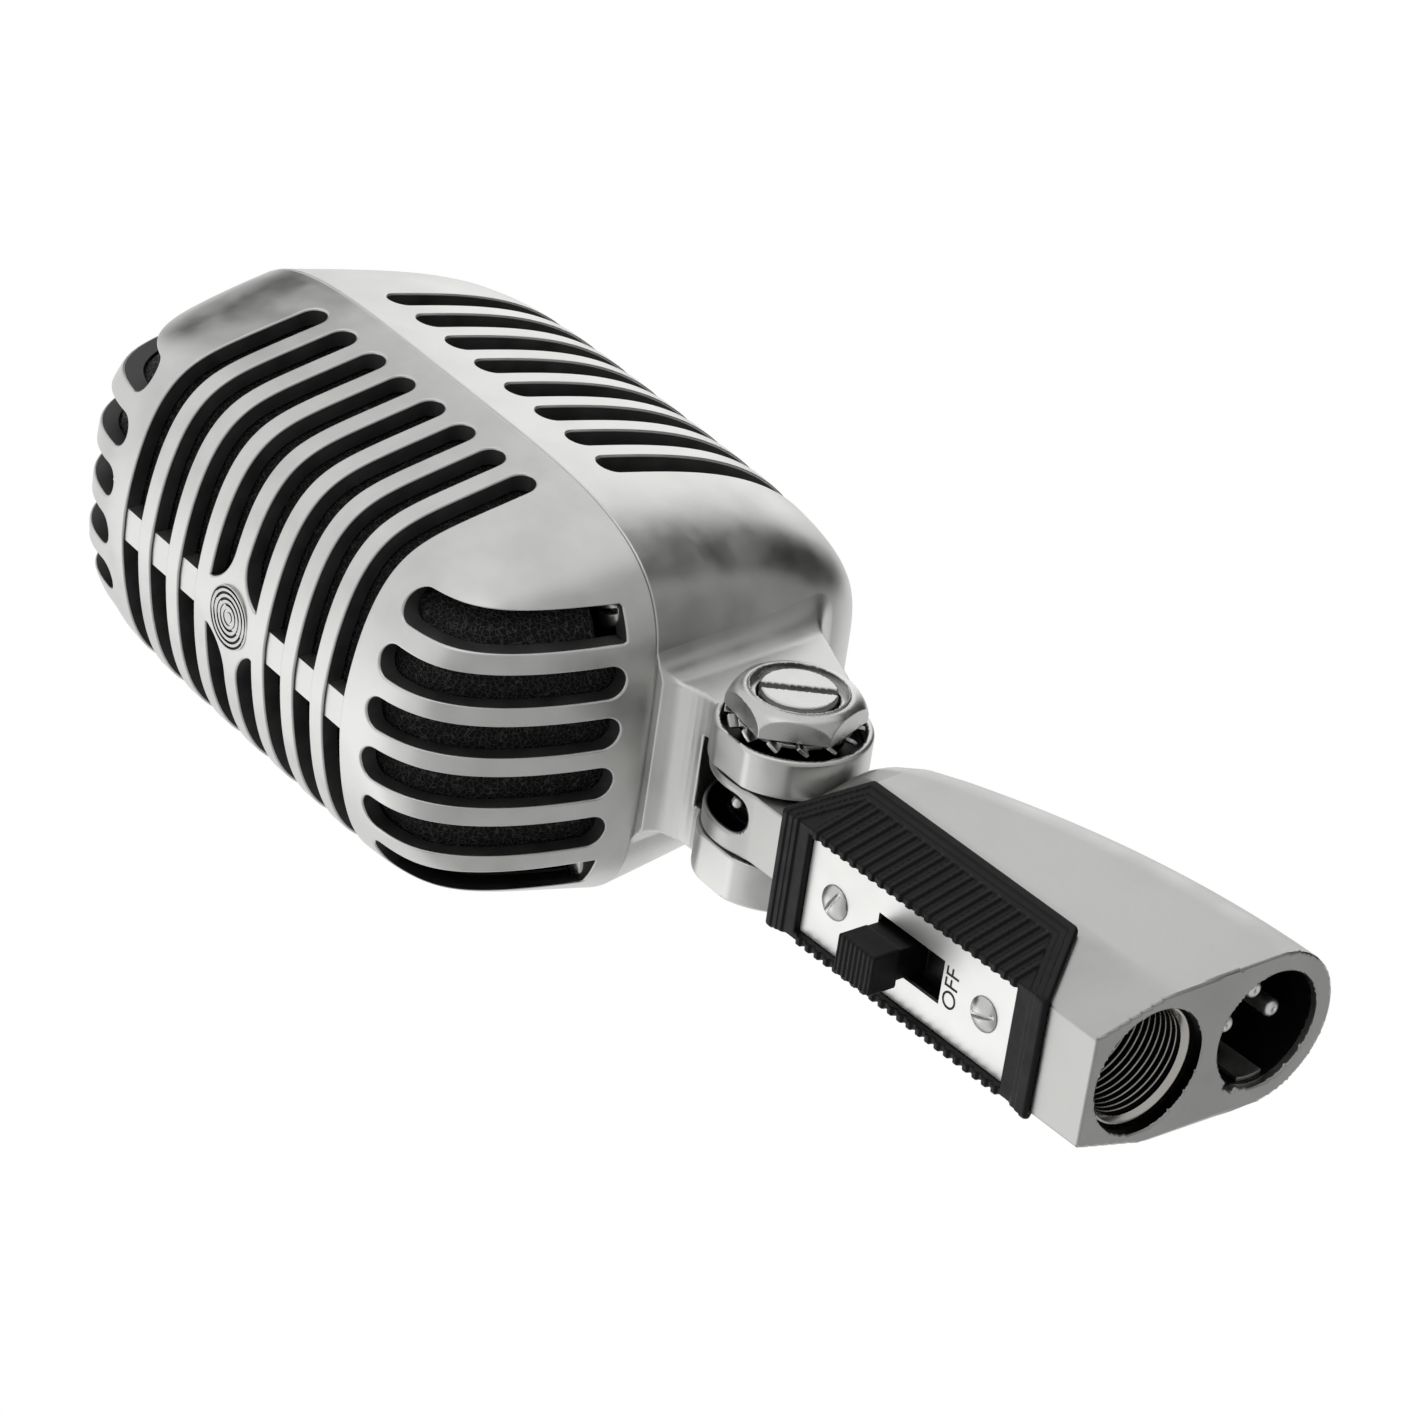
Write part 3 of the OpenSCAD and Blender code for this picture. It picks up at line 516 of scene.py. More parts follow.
class Casting:
    """One half of the head: way is -1 ahead of the seam and 1 behind it.

    At a depth share s from the seam, the section is |x/w|^n + |z/h|^n = 1 about the head's
    middle height, with w and h equal to half the width and height times
    (1 - a s) (1 - s^p)^(1/q), each with its own a, p and q. The exponent n grows with
    k s^2 (1 - z) / 2, so that the front's foot has squarer corners than its top.
    """

    def __init__(self, way):
        self.way = way
        depth = value("head", "front_depth" if way < 0 else "rear_depth")
        self.size = np.array([value("head", "width") / 2, depth, value("head", "height") / 2])
        self.middle = value("head", "foot") + self.size[2]
        self.seam = -value("head", "seam")

    def place(self, q):
        """Shares of the width, depth and height as millimetres in the head frame."""
        p = q * self.size
        return np.stack([p[..., 0], self.seam + self.way * p[..., 1], self.middle + p[..., 2]], -1)

    def share(self, p):
        """Millimetres in the head frame as shares, the other way round."""
        q = np.stack([p[..., 0], self.way * (p[..., 1] - self.seam), p[..., 2] - self.middle], -1)
        return q / self.size

    def halves(self, s):
        """The section's w and h as shares of their size at the seam."""
        t = np.clip(s, 0, 1)
        return [
            (1 - a * t) * np.maximum(1 - t**p, 1e-12) ** (1 / q) for a, p, q in SIDES[self.way]
        ]

    def level(self, q):
        """Below 1 inside the casting's outer surface and above 1 outside."""
        w, h = self.halves(q[..., 1])
        n = self.exponent(q)
        grown = ((np.abs(q[..., 0]) / w) ** n + (np.abs(q[..., 2]) / h) ** n) ** (1 / n)
        return np.where(q[..., 1] >= 1, 1 + q[..., 1], grown)

    def exponent(self, q):
        """The section's exponent n."""
        s, z = np.clip(q[..., 1], 0, 1), np.clip(q[..., 2], -1, 1)
        return OUTLINE + SQUARER[self.way] * s**2 * (1 - z) / 2

    def cast(self, start, way):
        """Where rays from inside meet the outer surface, by halving, in shares."""
        start, way = np.broadcast_arrays(np.asarray(start, float), np.asarray(way, float))
        near, far = np.zeros(start.shape[:-1]), np.full(start.shape[:-1], FAR_OUT)
        for _ in range(HALVINGS):
            mid = (near + far) / 2
            out = self.level(start + way * mid[..., None]) > 1
            near, far = np.where(out, near, mid), np.where(out, mid, far)
        return start + way * near[..., None]

    def normal(self, q):
        """Outward normal in the head frame, from the derivatives of the section's equation."""
        s, z = np.clip(q[..., 1], 0, 1 - 1e-9), np.clip(q[..., 2], -1, 1)
        n, k = self.exponent(q), SQUARER[self.way]
        g = np.zeros(q.shape)
        for i, (a, p, r) in zip((0, 2), SIDES[self.way]):
            t = np.maximum(1 - s**p, 1e-12)
            half = (1 - a * s) * t ** (1 / r)
            u = np.minimum(np.abs(q[..., i]) / half, 2)
            narrowing = a / (1 - a * s) + p * s ** (p - 1) / (r * t)
            g[..., i] += n * u ** (n - 1) / half * np.sign(q[..., i])
            squaring = u**n * np.log(np.maximum(u, 1e-9))
            g[..., 1] += n * u**n * narrowing + squaring * k * s * (1 - z)
            g[..., 2] -= squaring * k * s**2 / 2
        g[..., 1] += 1e-9
        g = g / self.size
        g[..., 1] *= self.way
        return unit(g)

    def from_chart(self, c):
        """The surface as a disc: its distance from the middle is the angle from the pole."""
        angle = np.linalg.norm(c, axis=-1)
        sweep = np.where(angle > 1e-9, np.sin(angle) / np.maximum(angle, 1e-9), 1)
        way = np.stack([c[..., 0] * sweep, np.cos(angle), c[..., 1] * sweep], -1)
        return self.cast(np.zeros(3), way)

    def to_chart(self, q):
        """The disc's point for a point of the surface."""
        d = unit(q)
        angle = np.arctan2(np.hypot(d[..., 0], d[..., 2]), d[..., 1])
        flat = unit(np.stack([d[..., 0], d[..., 2]], -1))
        return flat * angle[..., None]

    # Outlines are stretches of (points in shares, wall direction in the head frame). A slot is
    # laid out flat and cast onto the surface sideways (X), forwards (Y) or up and down (Z).

    def level_edge(self, z, *ends):
        """A stretch at one height between two ends, each (x, None) or (side of the head, s)."""
        turns = []
        for x, s in ends:
            start, way = ([0, s, z], [x, 0, 0]) if s is not None else ([x, 0, z], [0, 1, 0])
            q = self.cast([start], [way])[0]
            turns.append(math.atan2(q[1], q[0]))
        a = np.linspace(*turns, 500)
        return self.cast([0, 0, z], np.stack([np.cos(a), np.sin(a), 0 * a], -1))

    def level_tip(self, height, s, side, up=1):
        """The round end of a level slot on one side of the head, with its wall directions."""
        r, (c, d, o) = value("head", "slot_height") / 2, fan(90, 270, 40)
        q = np.stack([o, s + r * c / self.size[1], (height + up * r * d) / self.size[2]], -1)
        return self.cast(q, [side, 0, 0]), np.stack([o, self.way * c, up * d], -1)

    def level_slot(self, height, end):
        """A level slot from one side round to the other, with round ends."""
        r = value("head", "slot_height") / 2
        s = (end + r) / self.size[1]
        left, right = self.level_tip(height, s, -1), self.level_tip(height, s, 1)
        top = self.level_edge((height + r) / self.size[2], (1, s), (-1, s))
        low = self.level_edge((height - r) / self.size[2], (-1, s), (1, s))
        right = right[0][::-1], right[1][::-1]
        return [(top, top * 0 + [0, 0, 1]), left, (low, low * 0 + [0, 0, -1]), right]

    def beside_emblem(self, height, end, side, boss=8.9, rise=7.3):
        """Half of a middle slot, ending on a circle that curves away from the emblem.

        The circle's middle is the boss distance across and the rise above or below the
        emblem's middle, and the circle runs into the slot's near edge.
        """
        r = value("head", "slot_height") / 2
        up = 1 if height > 0 else -1
        near, far = height - up * r, height + up * r
        curve = rise - abs(near)
        s = (end + r) / self.size[1]
        swing = math.asin((abs(far) - rise) / curve)
        b = np.linspace(-math.pi / 2, -math.pi - swing, 40)
        c, d, o = np.cos(b), np.sin(b), 0 * b
        x, z = (boss + curve * c) * side, (rise + curve * d) * up
        claw = self.cast(np.stack([x / self.size[0], o, z / self.size[2]], -1), [0, 1, 0])
        boss_end, claw_end = side * boss / self.size[0], x[-1] / self.size[0]
        low = self.level_edge(near / self.size[2], (side, s), (boss_end, None))
        top = self.level_edge(far / self.size[2], (claw_end, None), (side, s))
        return [
            (low, low * 0 + [0, 0, -up]),
            (claw, np.stack([c * side, o, d * up], -1)),
            (top, top * 0 + [0, 0, up]),
            self.level_tip(height, s, side, up),
        ]

    def upright_slot(self, x, reach, up, square=False):
        """An upright slot round the top (up 1) or the foot (up -1) of the casting.

        Its end on the face is half round, and its corners at the seam are round too, or square.
        """
        r = value("head", "upright_width") / 2
        corner = SQUARE_CORNER if square else r
        wide, deep, tall = self.size
        tip = up * (tall - (reach - r)) / tall
        s = (UPRIGHT_END + corner) / deep
        edges = []
        for side in (1, -1):
            at = (x + side * r) / wide
            a = self.cast([[at, s, 0]], [[0, 0, up]])[0]
            b = self.cast([[at, 0, tip]], [[0, 1, 0]])[0]
            turn = np.linspace(math.atan2(a[1], a[2]), math.atan2(b[1], b[2]), 300)
            edge = self.cast([at, 0, 0], np.stack([0 * turn, np.sin(turn), np.cos(turn)], -1))
            edges.append((edge, edge * 0 + [side, 0, 0]))
        c, d, o = fan(0, 180, 40)
        mouth = self.cast(np.stack([(x + r * c) / wide, o, tip - up * r * d / tall], -1), [0, 1, 0])
        ends = []
        for first, side in ((180, -1), (270, 1)):
            b, e, n = fan(first, first + 90, 20)
            across, along = x + side * (r - corner) + corner * b, s + corner * e / deep
            end = self.cast(np.stack([across / wide, along, n], -1), [0, 0, up])
            ends.append((end, np.stack([b, self.way * e, n], -1)))
        wall = np.stack([c, o, -up * d], -1)
        back = edges[1][0][::-1], edges[1][1][::-1]
        return [edges[0], (mouth, wall), back, *ends]

    def walk(self, stretches, spacing):
        """Evenly spaced points round a closed outline, with their wall directions."""
        q = np.concatenate([s[0] for s in stretches])
        m = np.concatenate([s[1] for s in stretches])
        p = self.place(q)
        gap = np.linalg.norm(np.diff(np.vstack([p, p[:1]]), axis=0), axis=1)
        along = np.concatenate([[0], np.cumsum(gap)])
        count = int(round(along[-1] / spacing))
        t = np.linspace(0, along[-1], count, endpoint=False)

        def pick(v):
            return np.stack([np.interp(t, along, np.append(c, c[0])) for c in v.T], 1)

        return self.cast(np.zeros(3), pick(unit(q))), unit(pick(m))

    def add_edge(self, shape, q, m, r, dark):
        """Adds an outline's rounded edge and its wall, and gives their rims on the two skins.

        The edge is a quarter round. With b along the skin away from the opening and d down the
        wall, its points are P + r (b (1 - sin t) + d (1 - cos t)) for t from 0 to 90 degrees.
        """
        wall = value("head", "wall")
        p, n = self.place(q), self.normal(q)
        b = unit(m - (m * n).sum(1, keepdims=True) * n)
        d = -unit(n - (m * n).sum(1, keepdims=True) * m)
        start = self.cast(np.zeros(3), unit(self.share(p + r * b)))
        t = np.radians(np.linspace(0, 90, 5))
        rings = [self.place(start)]
        rings += [p + r * (b * (1 - math.sin(x)) + d * (1 - math.cos(x))) for x in t[1:]]
        shades = [self.normal(start)] + [n * math.cos(x) - m * math.sin(x) for x in t[1:]]
        foot = p + d * (wall / np.maximum(-(d * n).sum(1), 0.45))[:, None]
        shape.grid(np.stack(rings), np.stack(shades), wrap=True)
        # A slot's wall takes the second material, painted shade, when dark
        shape.grid(np.stack([rings[-1], foot]), np.stack([-m, -m]), wrap=True, dark=dark)
        return start, foot

    def skin_points(self, chart, seam, slots):
        """A triangular grid of points on the chart, clear of the rims and of the slots."""
        limit = np.linalg.norm(seam, axis=1).min() - 0.6 * MESH_STEP
        g = np.arange(-math.pi / 2, math.pi / 2, MESH_STEP)
        u, v = np.meshgrid(g, g * math.sqrt(3) / 2, indexing="ij")
        u = u + (np.arange(len(g)) % 2) * MESH_STEP / 2
        fill = np.stack([u.ravel(), v.ravel()], 1)
        fill = fill[np.linalg.norm(fill, axis=1) < limit]
        cell = MESH_STEP * 0.55
        taken = [cell_number(chart, cell, i, j) for i in (-1, 0, 1) for j in (-1, 0, 1)]
        fill = fill[~np.isin(cell_number(fill, cell), np.concatenate(taken))]
        for ring in slots:
            near = ((fill > ring.min(0)) & (fill < ring.max(0))).all(1)
            near[near] = within(fill[near], ring)
            fill = fill[~near]
        return fill

    def build(self, outlines):
        """The casting as a closed shell: outer skin, rounded slot edges, walls and inner skin.

        On the chart, a constrained Delaunay triangulation joins the rims with a grid of points,
        and the triangles inside the slots are left out. The inner skin has the same triangles,
        with its points a wall's thickness further in.
        """
        wall, edge = value("head", "wall"), value("head", "edge")
        shape = Shape()
        a = np.linspace(0, 2 * math.pi, 720, endpoint=False)
        seam = self.cast(np.zeros(3), np.stack([np.cos(a), 0 * a, np.sin(a)], -1))
        q, m = self.walk([(seam, seam * 0 + [0, self.way, 0])], SEAM_SPACING)
        q[:, 1] = 0
        rims = [self.add_edge(shape, q, m, SEAM_EDGE, False)]
        for outline in outlines:
            q, m = self.walk(outline, SLOT_SPACING)
            rims.append(self.add_edge(shape, q, m, edge, True))
        rim, inner_rim = (np.concatenate(side) for side in zip(*rims))
        loops = [len(outer) for outer, _ in rims]
        starts = np.concatenate([[0], np.cumsum(loops)])
        chart = self.to_chart(rim)
        seam, *slots = (chart[a:b] for a, b in zip(starts, starts[1:]))
        fill = self.skin_points(chart, seam, slots)
        flat = np.concatenate([chart, fill])
        edges = np.concatenate(
            [np.stack([np.arange(n), (np.arange(n) + 1) % n], 1) + s for n, s in zip(loops, starts)]
        )
        made = delaunay_2d_cdt([tuple(c) for c in flat.tolist()], edges.tolist(), [], 0, 1e-7)
        if len(made[0]) != len(flat):
            raise RuntimeError("the slot outlines of a head casting cross or touch")
        tris = np.array(made[2])
        owner = np.searchsorted(starts, np.arange(len(flat)), side="right") - 1
        drop = np.zeros(len(tris), bool)
        for k, ring in enumerate(slots, 1):
            mine = np.flatnonzero((owner[tris] == k).all(1))
            drop[mine] = within(flat[tris[mine]].mean(1), ring)
        tris = tris[~drop]
        q = np.concatenate([rim, self.from_chart(fill)])
        p, n = self.place(q), self.normal(q)
        shape.add(p, n, tris=tris)
        # The inner skin takes the second material, painted shade
        shape.add(np.concatenate([inner_rim, (p - wall * n)[len(rim) :]]), -n, tris=tris, dark=True)
        return shape

    def band_block(self, height, sink=0.45, deep=2.7, lap=0.35):
        """The upright band's piece in one level slot: its face lies a little behind the bars.

        It is the flat patch of the skin across the slot, cast back by the sink and the depth
        and lapping over the slot's edges, with its four sides closed.
        """
        half, r = value("head", "band"), value("head", "slot_height") / 2 + lap
        x, z = np.meshgrid(np.linspace(-half, half, 7), np.linspace(-r, r, 7), indexing="ij")
        q = np.stack([x / self.size[0], 0 * x, (height + z) / self.size[2]], -1)
        skin = self.place(self.cast(q, [0.0, 1.0, 0.0]))
        out = np.array([0.0, self.way, 0.0])
        front, back = skin - out * sink, skin - out * deep
        shape = Shape()
        shape.grid(front, front * 0 + out)
        shape.grid(back, back * 0 - out)
        for i, way in ((0, -1.0), (-1, 1.0)):
            side, end = np.stack([front[i], back[i]]), np.stack([front[:, i], back[:, i]])
            shape.grid(side, side * 0 + [way, 0, 0])
            shape.grid(end, end * 0 + [0, 0, way])
        return shape

    def lining(self, inset, thick, rim, step=0.8):
        """A foam lining: two skins at set depths behind the casting, joined by a rim.

        Rows run from the pole to the rim, whose distance from the seam the rim's table gives
        by distance across, and columns run round the head. The outer skin is dimpled by
        0.16 mm of crossed sine waves 1.5 mm long, as cut foam is.
        """
        dimple, length = 0.16, 1.5
        count = int(2 * math.pi * self.size[[0, 2]].mean() / step)
        a = np.linspace(0, 2 * math.pi, count, endpoint=False)
        round_way = np.stack([np.cos(a), 0 * a, np.sin(a)], -1)
        edge = self.cast(np.zeros(3), round_way)
        gap = np.interp(np.abs(edge[:, 0]) * self.size[0], *zip(*rim))
        gap = np.where(edge[:, 2] < -0.5, gap, rim[-1][1])
        start = np.stack([0 * a, gap / self.size[1], 0 * a], -1)
        edge = self.cast(start, round_way)
        steep = np.arctan2(np.hypot(edge[:, 0], edge[:, 2]), edge[:, 1])
        rows = int((self.size[1] + self.size[0]) / step)
        t = np.linspace(0, 1, rows)[:, None] * steep
        way = np.stack([np.cos(a) * np.sin(t), np.cos(t), np.sin(a) * np.sin(t)], -1)
        q = self.cast(np.zeros(3), way)
        n, p = self.normal(q), self.place(q)
        x, y, z = np.moveaxis(p, -1, 0)
        wave = 2 * math.pi / length
        dent = np.sin(wave * x + np.sin(0.9 * z)) * np.sin(wave * z + np.sin(1.1 * x))
        dent = dent * np.sin(wave * 0.8 * y + 0.7 * x)
        outer = p - n * (inset + dimple + dimple * dent)[..., None]
        inner = p - n * (inset + thick)
        shape = Shape()
        shape.grid(outer, wrap=True)
        facing = (shape.normals[0] * n.reshape(-1, 3)).sum(1) < 0
        shape.normals[0][facing] *= -1
        shape.grid(inner[::3], -n[::3], wrap=True)
        rim = np.stack([outer[-1], inner[(rows - 1) // 3 * 3]])
        shape.grid(rim, rim * 0 + [0, -self.way, 0], wrap=True)
        return shape


def cell_number(points, cell, i=0, j=0):
    """Numbers the square cell that each flat point lies in, or one i and j cells away."""
    c = np.floor(points / cell).astype(np.int64) + [i, j]
    return c[:, 0] * 100003 + c[:, 1]


def within(points, ring):
    """Which points lie inside a closed ring, by counting the ring's crossings to one side."""
    a, b = ring, np.roll(ring, -1, 0)
    x, y = points[:, :1], points[:, 1:]
    spans = (a[:, 1] > y) != (b[:, 1] > y)
    rise = np.where(b[:, 1] == a[:, 1], 1e-12, b[:, 1] - a[:, 1])
    at = a[:, 0] + (y - a[:, 1]) * (b[:, 0] - a[:, 0]) / rise
    return (spans & (x < at)).sum(1) % 2 == 1


def flat_distance(y, z, corners):
    """Signed distance to a closed outline of straight sides, negative inside."""
    best, inside = np.full(y.shape, 1e9), np.zeros(y.shape, bool)
    for (y0, z0), (y1, z1) in zip(corners, corners[1:] + corners[:1]):
        dy, dz = y1 - y0, z1 - z0
        t = np.clip(((y - y0) * dy + (z - z0) * dz) / (dy * dy + dz * dz), 0, 1)
        best = np.minimum(best, (y - y0 - t * dy) ** 2 + (z - z0 - t * dz) ** 2)
        if dz != 0:
            crosses = (z0 > z) != (z1 > z)
            inside ^= crosses & (y < y0 + (z - z0) * dy / dz)
    return np.where(inside, -1, 1) * np.sqrt(best)


def fork(rear):
    """The two lugs and the tongue under them, running into the rear casting in a hollow curve.

    From the side it is the lug's circle and the tongue's outline, whose front edge is a
    parabola. It is carried sideways with rounded edges. A round window parts the lugs, the
    screw's bore runs through them, and the nut sits in a pocket.
    """
    lug, out, off = value("swivel", "lug"), value("swivel", "reach"), value("swivel", "offset")
    half, fillet = value("swivel", "knuckle") + value("swivel", "gap"), value("swivel", "fillet")
    foot, bore, seam = value("head", "foot"), value("swivel", "screw") + 0.05, rear.seam
    pocket = value("swivel", "pocket")
    w0, d0, h0 = rear.size
    t = np.linspace(1.3, 0, 12)
    side = np.stack([-6.55 + (seam + 6.45) * t * t, foot - 8.4 + 8.4 * t], 1).tolist()
    side += [(0, 0), (9.8, -2.8), (13.7, foot - 9.3), (18.3, foot + 4), (19.4, foot + 8)]

    def under(p):
        """Depth below the casting's underside, with the slope taken off."""
        s = np.clip((p[..., 1] - seam) / d0, 0, 0.93)
        w, h = rear.halves(s)
        x = np.clip(np.abs(p[..., 0]) / (w0 * w), 0, 0.97)
        rise = 1 - x**OUTLINE
        z = rear.middle - h0 * h * rise ** (1 / OUTLINE)
        across = h0 / w0 * x ** (OUTLINE - 1) * rise ** (1 / OUTLINE - 1)
        along = 0.107 * h0 / d0 + 0.9 * s**7
        return (z - p[..., 2]) / np.sqrt(1 + across**2 + along**2)

    def distance(p):
        x, y, z = np.moveaxis(p, -1, 0)
        r, skin = np.hypot(y, z), under(p)
        outline = join(r - lug, flat_distance(y, z, side))
        d = meet(outline, np.abs(x) - out, 0.55)
        d = join(d, skin + 0.04, fillet)
        window = np.maximum(r - lug - 0.8, np.abs(x - off) - half)
        d = cut(d, window, 0.35)
        d = cut(d, np.maximum(r - bore, -50 - x))
        d = cut(d, np.maximum(r - pocket, POCKET_FLOOR - x), 0.2)
        # Nothing ahead of the seam, inside the casting's wall or up its sides
        d = meet(d, seam + 0.08 - y, 0.2)
        d = np.maximum(d, -skin - 1.2)
        return np.maximum(np.maximum(d, np.abs(x) - 19), y - 25.5)

    return sculpted(distance, (-19.6, -10.2, -11), (19.6, 26.2, 22.5), 0.36)


def screw_boss(way, length):
    """A boss for a case screw: a cylinder on a block, with the screw's hole through it."""
    x0, z0 = CASE_SCREW
    seam, radius, hole = -value("head", "seam"), 2.6, 1.3
    low, high = sorted((seam, seam + way * length))

    def distance(p):
        x, y, z = p[..., 0] - x0, (p[..., 1] - seam) * way, p[..., 2] - z0
        r = np.hypot(x, z)
        d = join(r - radius, np.maximum(np.abs(x) - 1.8, np.abs(z + 1.1) - 1.1))
        d = meet(d, np.abs(y - length / 2) - length / 2, 0.35)
        return cut(d, r - hole, 0.1)

    box = (x0 - 3.2, low - 0.6, z0 - 3.4), (x0 + 3.2, high + 0.6, z0 + 3.2)
    return sculpted(distance, *box, 0.25)


def slit(x, z, turn, half):
    """Distance to a straight slot of a half width through the middle, turned by an angle."""
    a = math.radians(turn)
    return np.abs(x * math.cos(a) + z * math.sin(a)) - half


def case_screw(way, turn):
    """A slotted domed screw that holds the castings together, pointing along -Y.

    The dome is a sphere of radius 4.5, and the shank is a plain cylinder.
    """
    x0, z0 = CASE_SCREW
    seat, head, shank = -value("head", "seam") - FRONT_BOSS, value("head", "screw_head"), 1.2

    def distance(p):
        x, y, z = p[..., 0] - way * x0, p[..., 1] - seat, p[..., 2] - z0
        r = np.hypot(x, z)
        d = meet(r - head, np.hypot(r, y - 2.7) - 4.5, 0.25)
        d = np.maximum(d, y)
        d = cut(d, np.maximum(slit(x, z, turn, 0.36), y + 0.95), 0.06)
        return np.minimum(d, np.maximum(r - shank, np.abs(y - 3.8) - 4.2))

    reach = head + 0.3
    low = (way * x0 - reach, seat - 2.2, z0 - reach)
    return sculpted(distance, low, (way * x0 + reach, seat + 8.4, z0 + reach), 0.14)


def mirrored(shape):
    """The same shape on the other side of the middle plane."""
    other = Shape()
    flip = np.array([-1.0, 1, 1])
    other.include(shape, lambda p: p * flip, lambda v: v * flip)
    return other


def base_body():
    """The base, the knuckle on its top and the neck between them, with their openings.

    The section is a flat front, two sloping flanks, nearly straight sides and a round back. The
    back moves forward with height z by R - sqrt(R^2 - z^2), and the section shrinks near the top.
    """
    tall, front, half = value("base", "height"), value("base", "front"), value("base", "front_half")
    back, sock_y, sock = value("base", "back"), value("base", "socket_y"), value("base", "socket")
    mouth, recess = value("base", "mouth"), value("base", "recess")
    insert, deep = value("base", "thread") + 0.75, value("base", "thread_depth")
    off, knuckle = value("swivel", "offset"), value("swivel", "knuckle")
    radius, bore = value("swivel", "knuckle_radius"), value("swivel", "screw") + 0.05
    axis, top = PIVOT - FOOT, recess + deep
    # Radius R of the back's curve, and where each flank meets its side
    curve, shoulder, shoulder_y = 115.0, 10.5, 1.2
    flank = unit(np.array([front + shoulder_y, -(shoulder - half)]))
    # How much the section shrinks at shares of the height
    shares, shrinks = [0, 0.85, 0.92, 0.966, 0.985, 1.0], [0, 0, 0.12, 0.85, 1.5, 2.6]

    def outside(x, y, z):
        """The base below its knuckle, without its openings."""
        mid = sock_y - 0.2 - curve + np.sqrt(curve**2 - z**2)
        run = np.clip((y - shoulder_y) / np.maximum(mid - shoulder_y, 1), 0, 1)
        side = x - (shoulder + (back - shoulder) * run)
        side = np.where(y > mid, np.hypot(x, y - mid) - back, side)
        slope = (x - half) * flank[0] + (y + front) * flank[1]
        d = meet(meet(side, slope, 0.3), -front - y, 0.3)
        d = meet(d + np.interp(z / tall, shares, shrinks), -z, 0.16)
        return meet(d, z - tall, 0.8)

    def distance(p):
        x, y, z = np.moveaxis(p, -1, 0)
        m, ky, kz = np.abs(x), y - axis[1], z - axis[2]
        hub = np.hypot(ky, kz)
        neck = np.stack([x - off, ky, z], -1)
        neck = block(neck, (-knuckle, -radius + 0.8, tall - 4), (knuckle, 6.6, axis[2] - 3))
        swivel = meet(join(hub - radius, neck, 0.6), np.abs(x - off) - knuckle, 0.4)
        d = join(outside(m, y, z), swivel, 0.8)
        # The cable slot, open towards the head, and the screw's bore
        sx = x - CABLE_SLOT
        slot = np.where(kz > -1.2, np.abs(sx), np.hypot(sx, kz + 1.2)) - 2.7
        d = cut(d, np.maximum(np.maximum(slot, ky), bore + 1.35 - hub), 0.35)
        d = cut(d, np.maximum(hub - bore, np.abs(x - off) - 20))
        # The stand hole: its mouth, and the bore for the thread insert
        hole = np.hypot(m, y)
        d = cut(d, np.maximum(hole - mouth, z - recess), 0.12)
        d = cut(d, np.maximum(hole - insert, z - top - 0.3))
        # The connector socket: its mouth, its wider bore, and a keyway on one side
        socket = np.hypot(m, y - sock_y)
        d = cut(d, np.maximum(socket - sock, z - 16), 0.12)
        d = cut(d, np.maximum(socket - sock - 0.35, np.abs(z - 9.1) - 7.9))
        a = math.radians(215)
        u = x * math.cos(a) + (y - sock_y) * math.sin(a)
        v = -x * math.sin(a) + (y - sock_y) * math.cos(a)
        key = np.maximum(np.maximum(np.abs(v) - 1.0, np.abs(u - sock + 0.15) - 0.85), z - 2.2)
        d = cut(d, key, 0.08)
        # The tray behind the trim, the hollow middle, and the way from it to the socket
        floor = np.where(z < 17, -8.55, -7.4)
        tray = np.maximum(np.maximum(m - 8.05, y - floor), np.abs(z - 33) - 20.55)
        d = cut(d, tray)
        d = np.maximum(d, -block(p, (-5.6, -9.0, top + 2), (5.6, 3.5, tall - 5)))
        return np.maximum(d, -block(p, (-3, 0, top + 6), (3, sock_y - 2, top + 11)))

    return sculpted(distance, (-11.6, -11.2, -0.9), (11.6, 31.6, 80.6), 0.42)


def along_minus_y(v):
    """Turns a shape made about Z so that its Z points along -Y."""
    return np.stack([v[..., 0], -v[..., 2], v[..., 1]], -1)


def soft_step(x, width):
    """Rises from 0 to 1 over the width, with round ends."""
    t = np.clip(x / width + 0.5, 0, 1)
    return t * t * (3 - 2 * t)


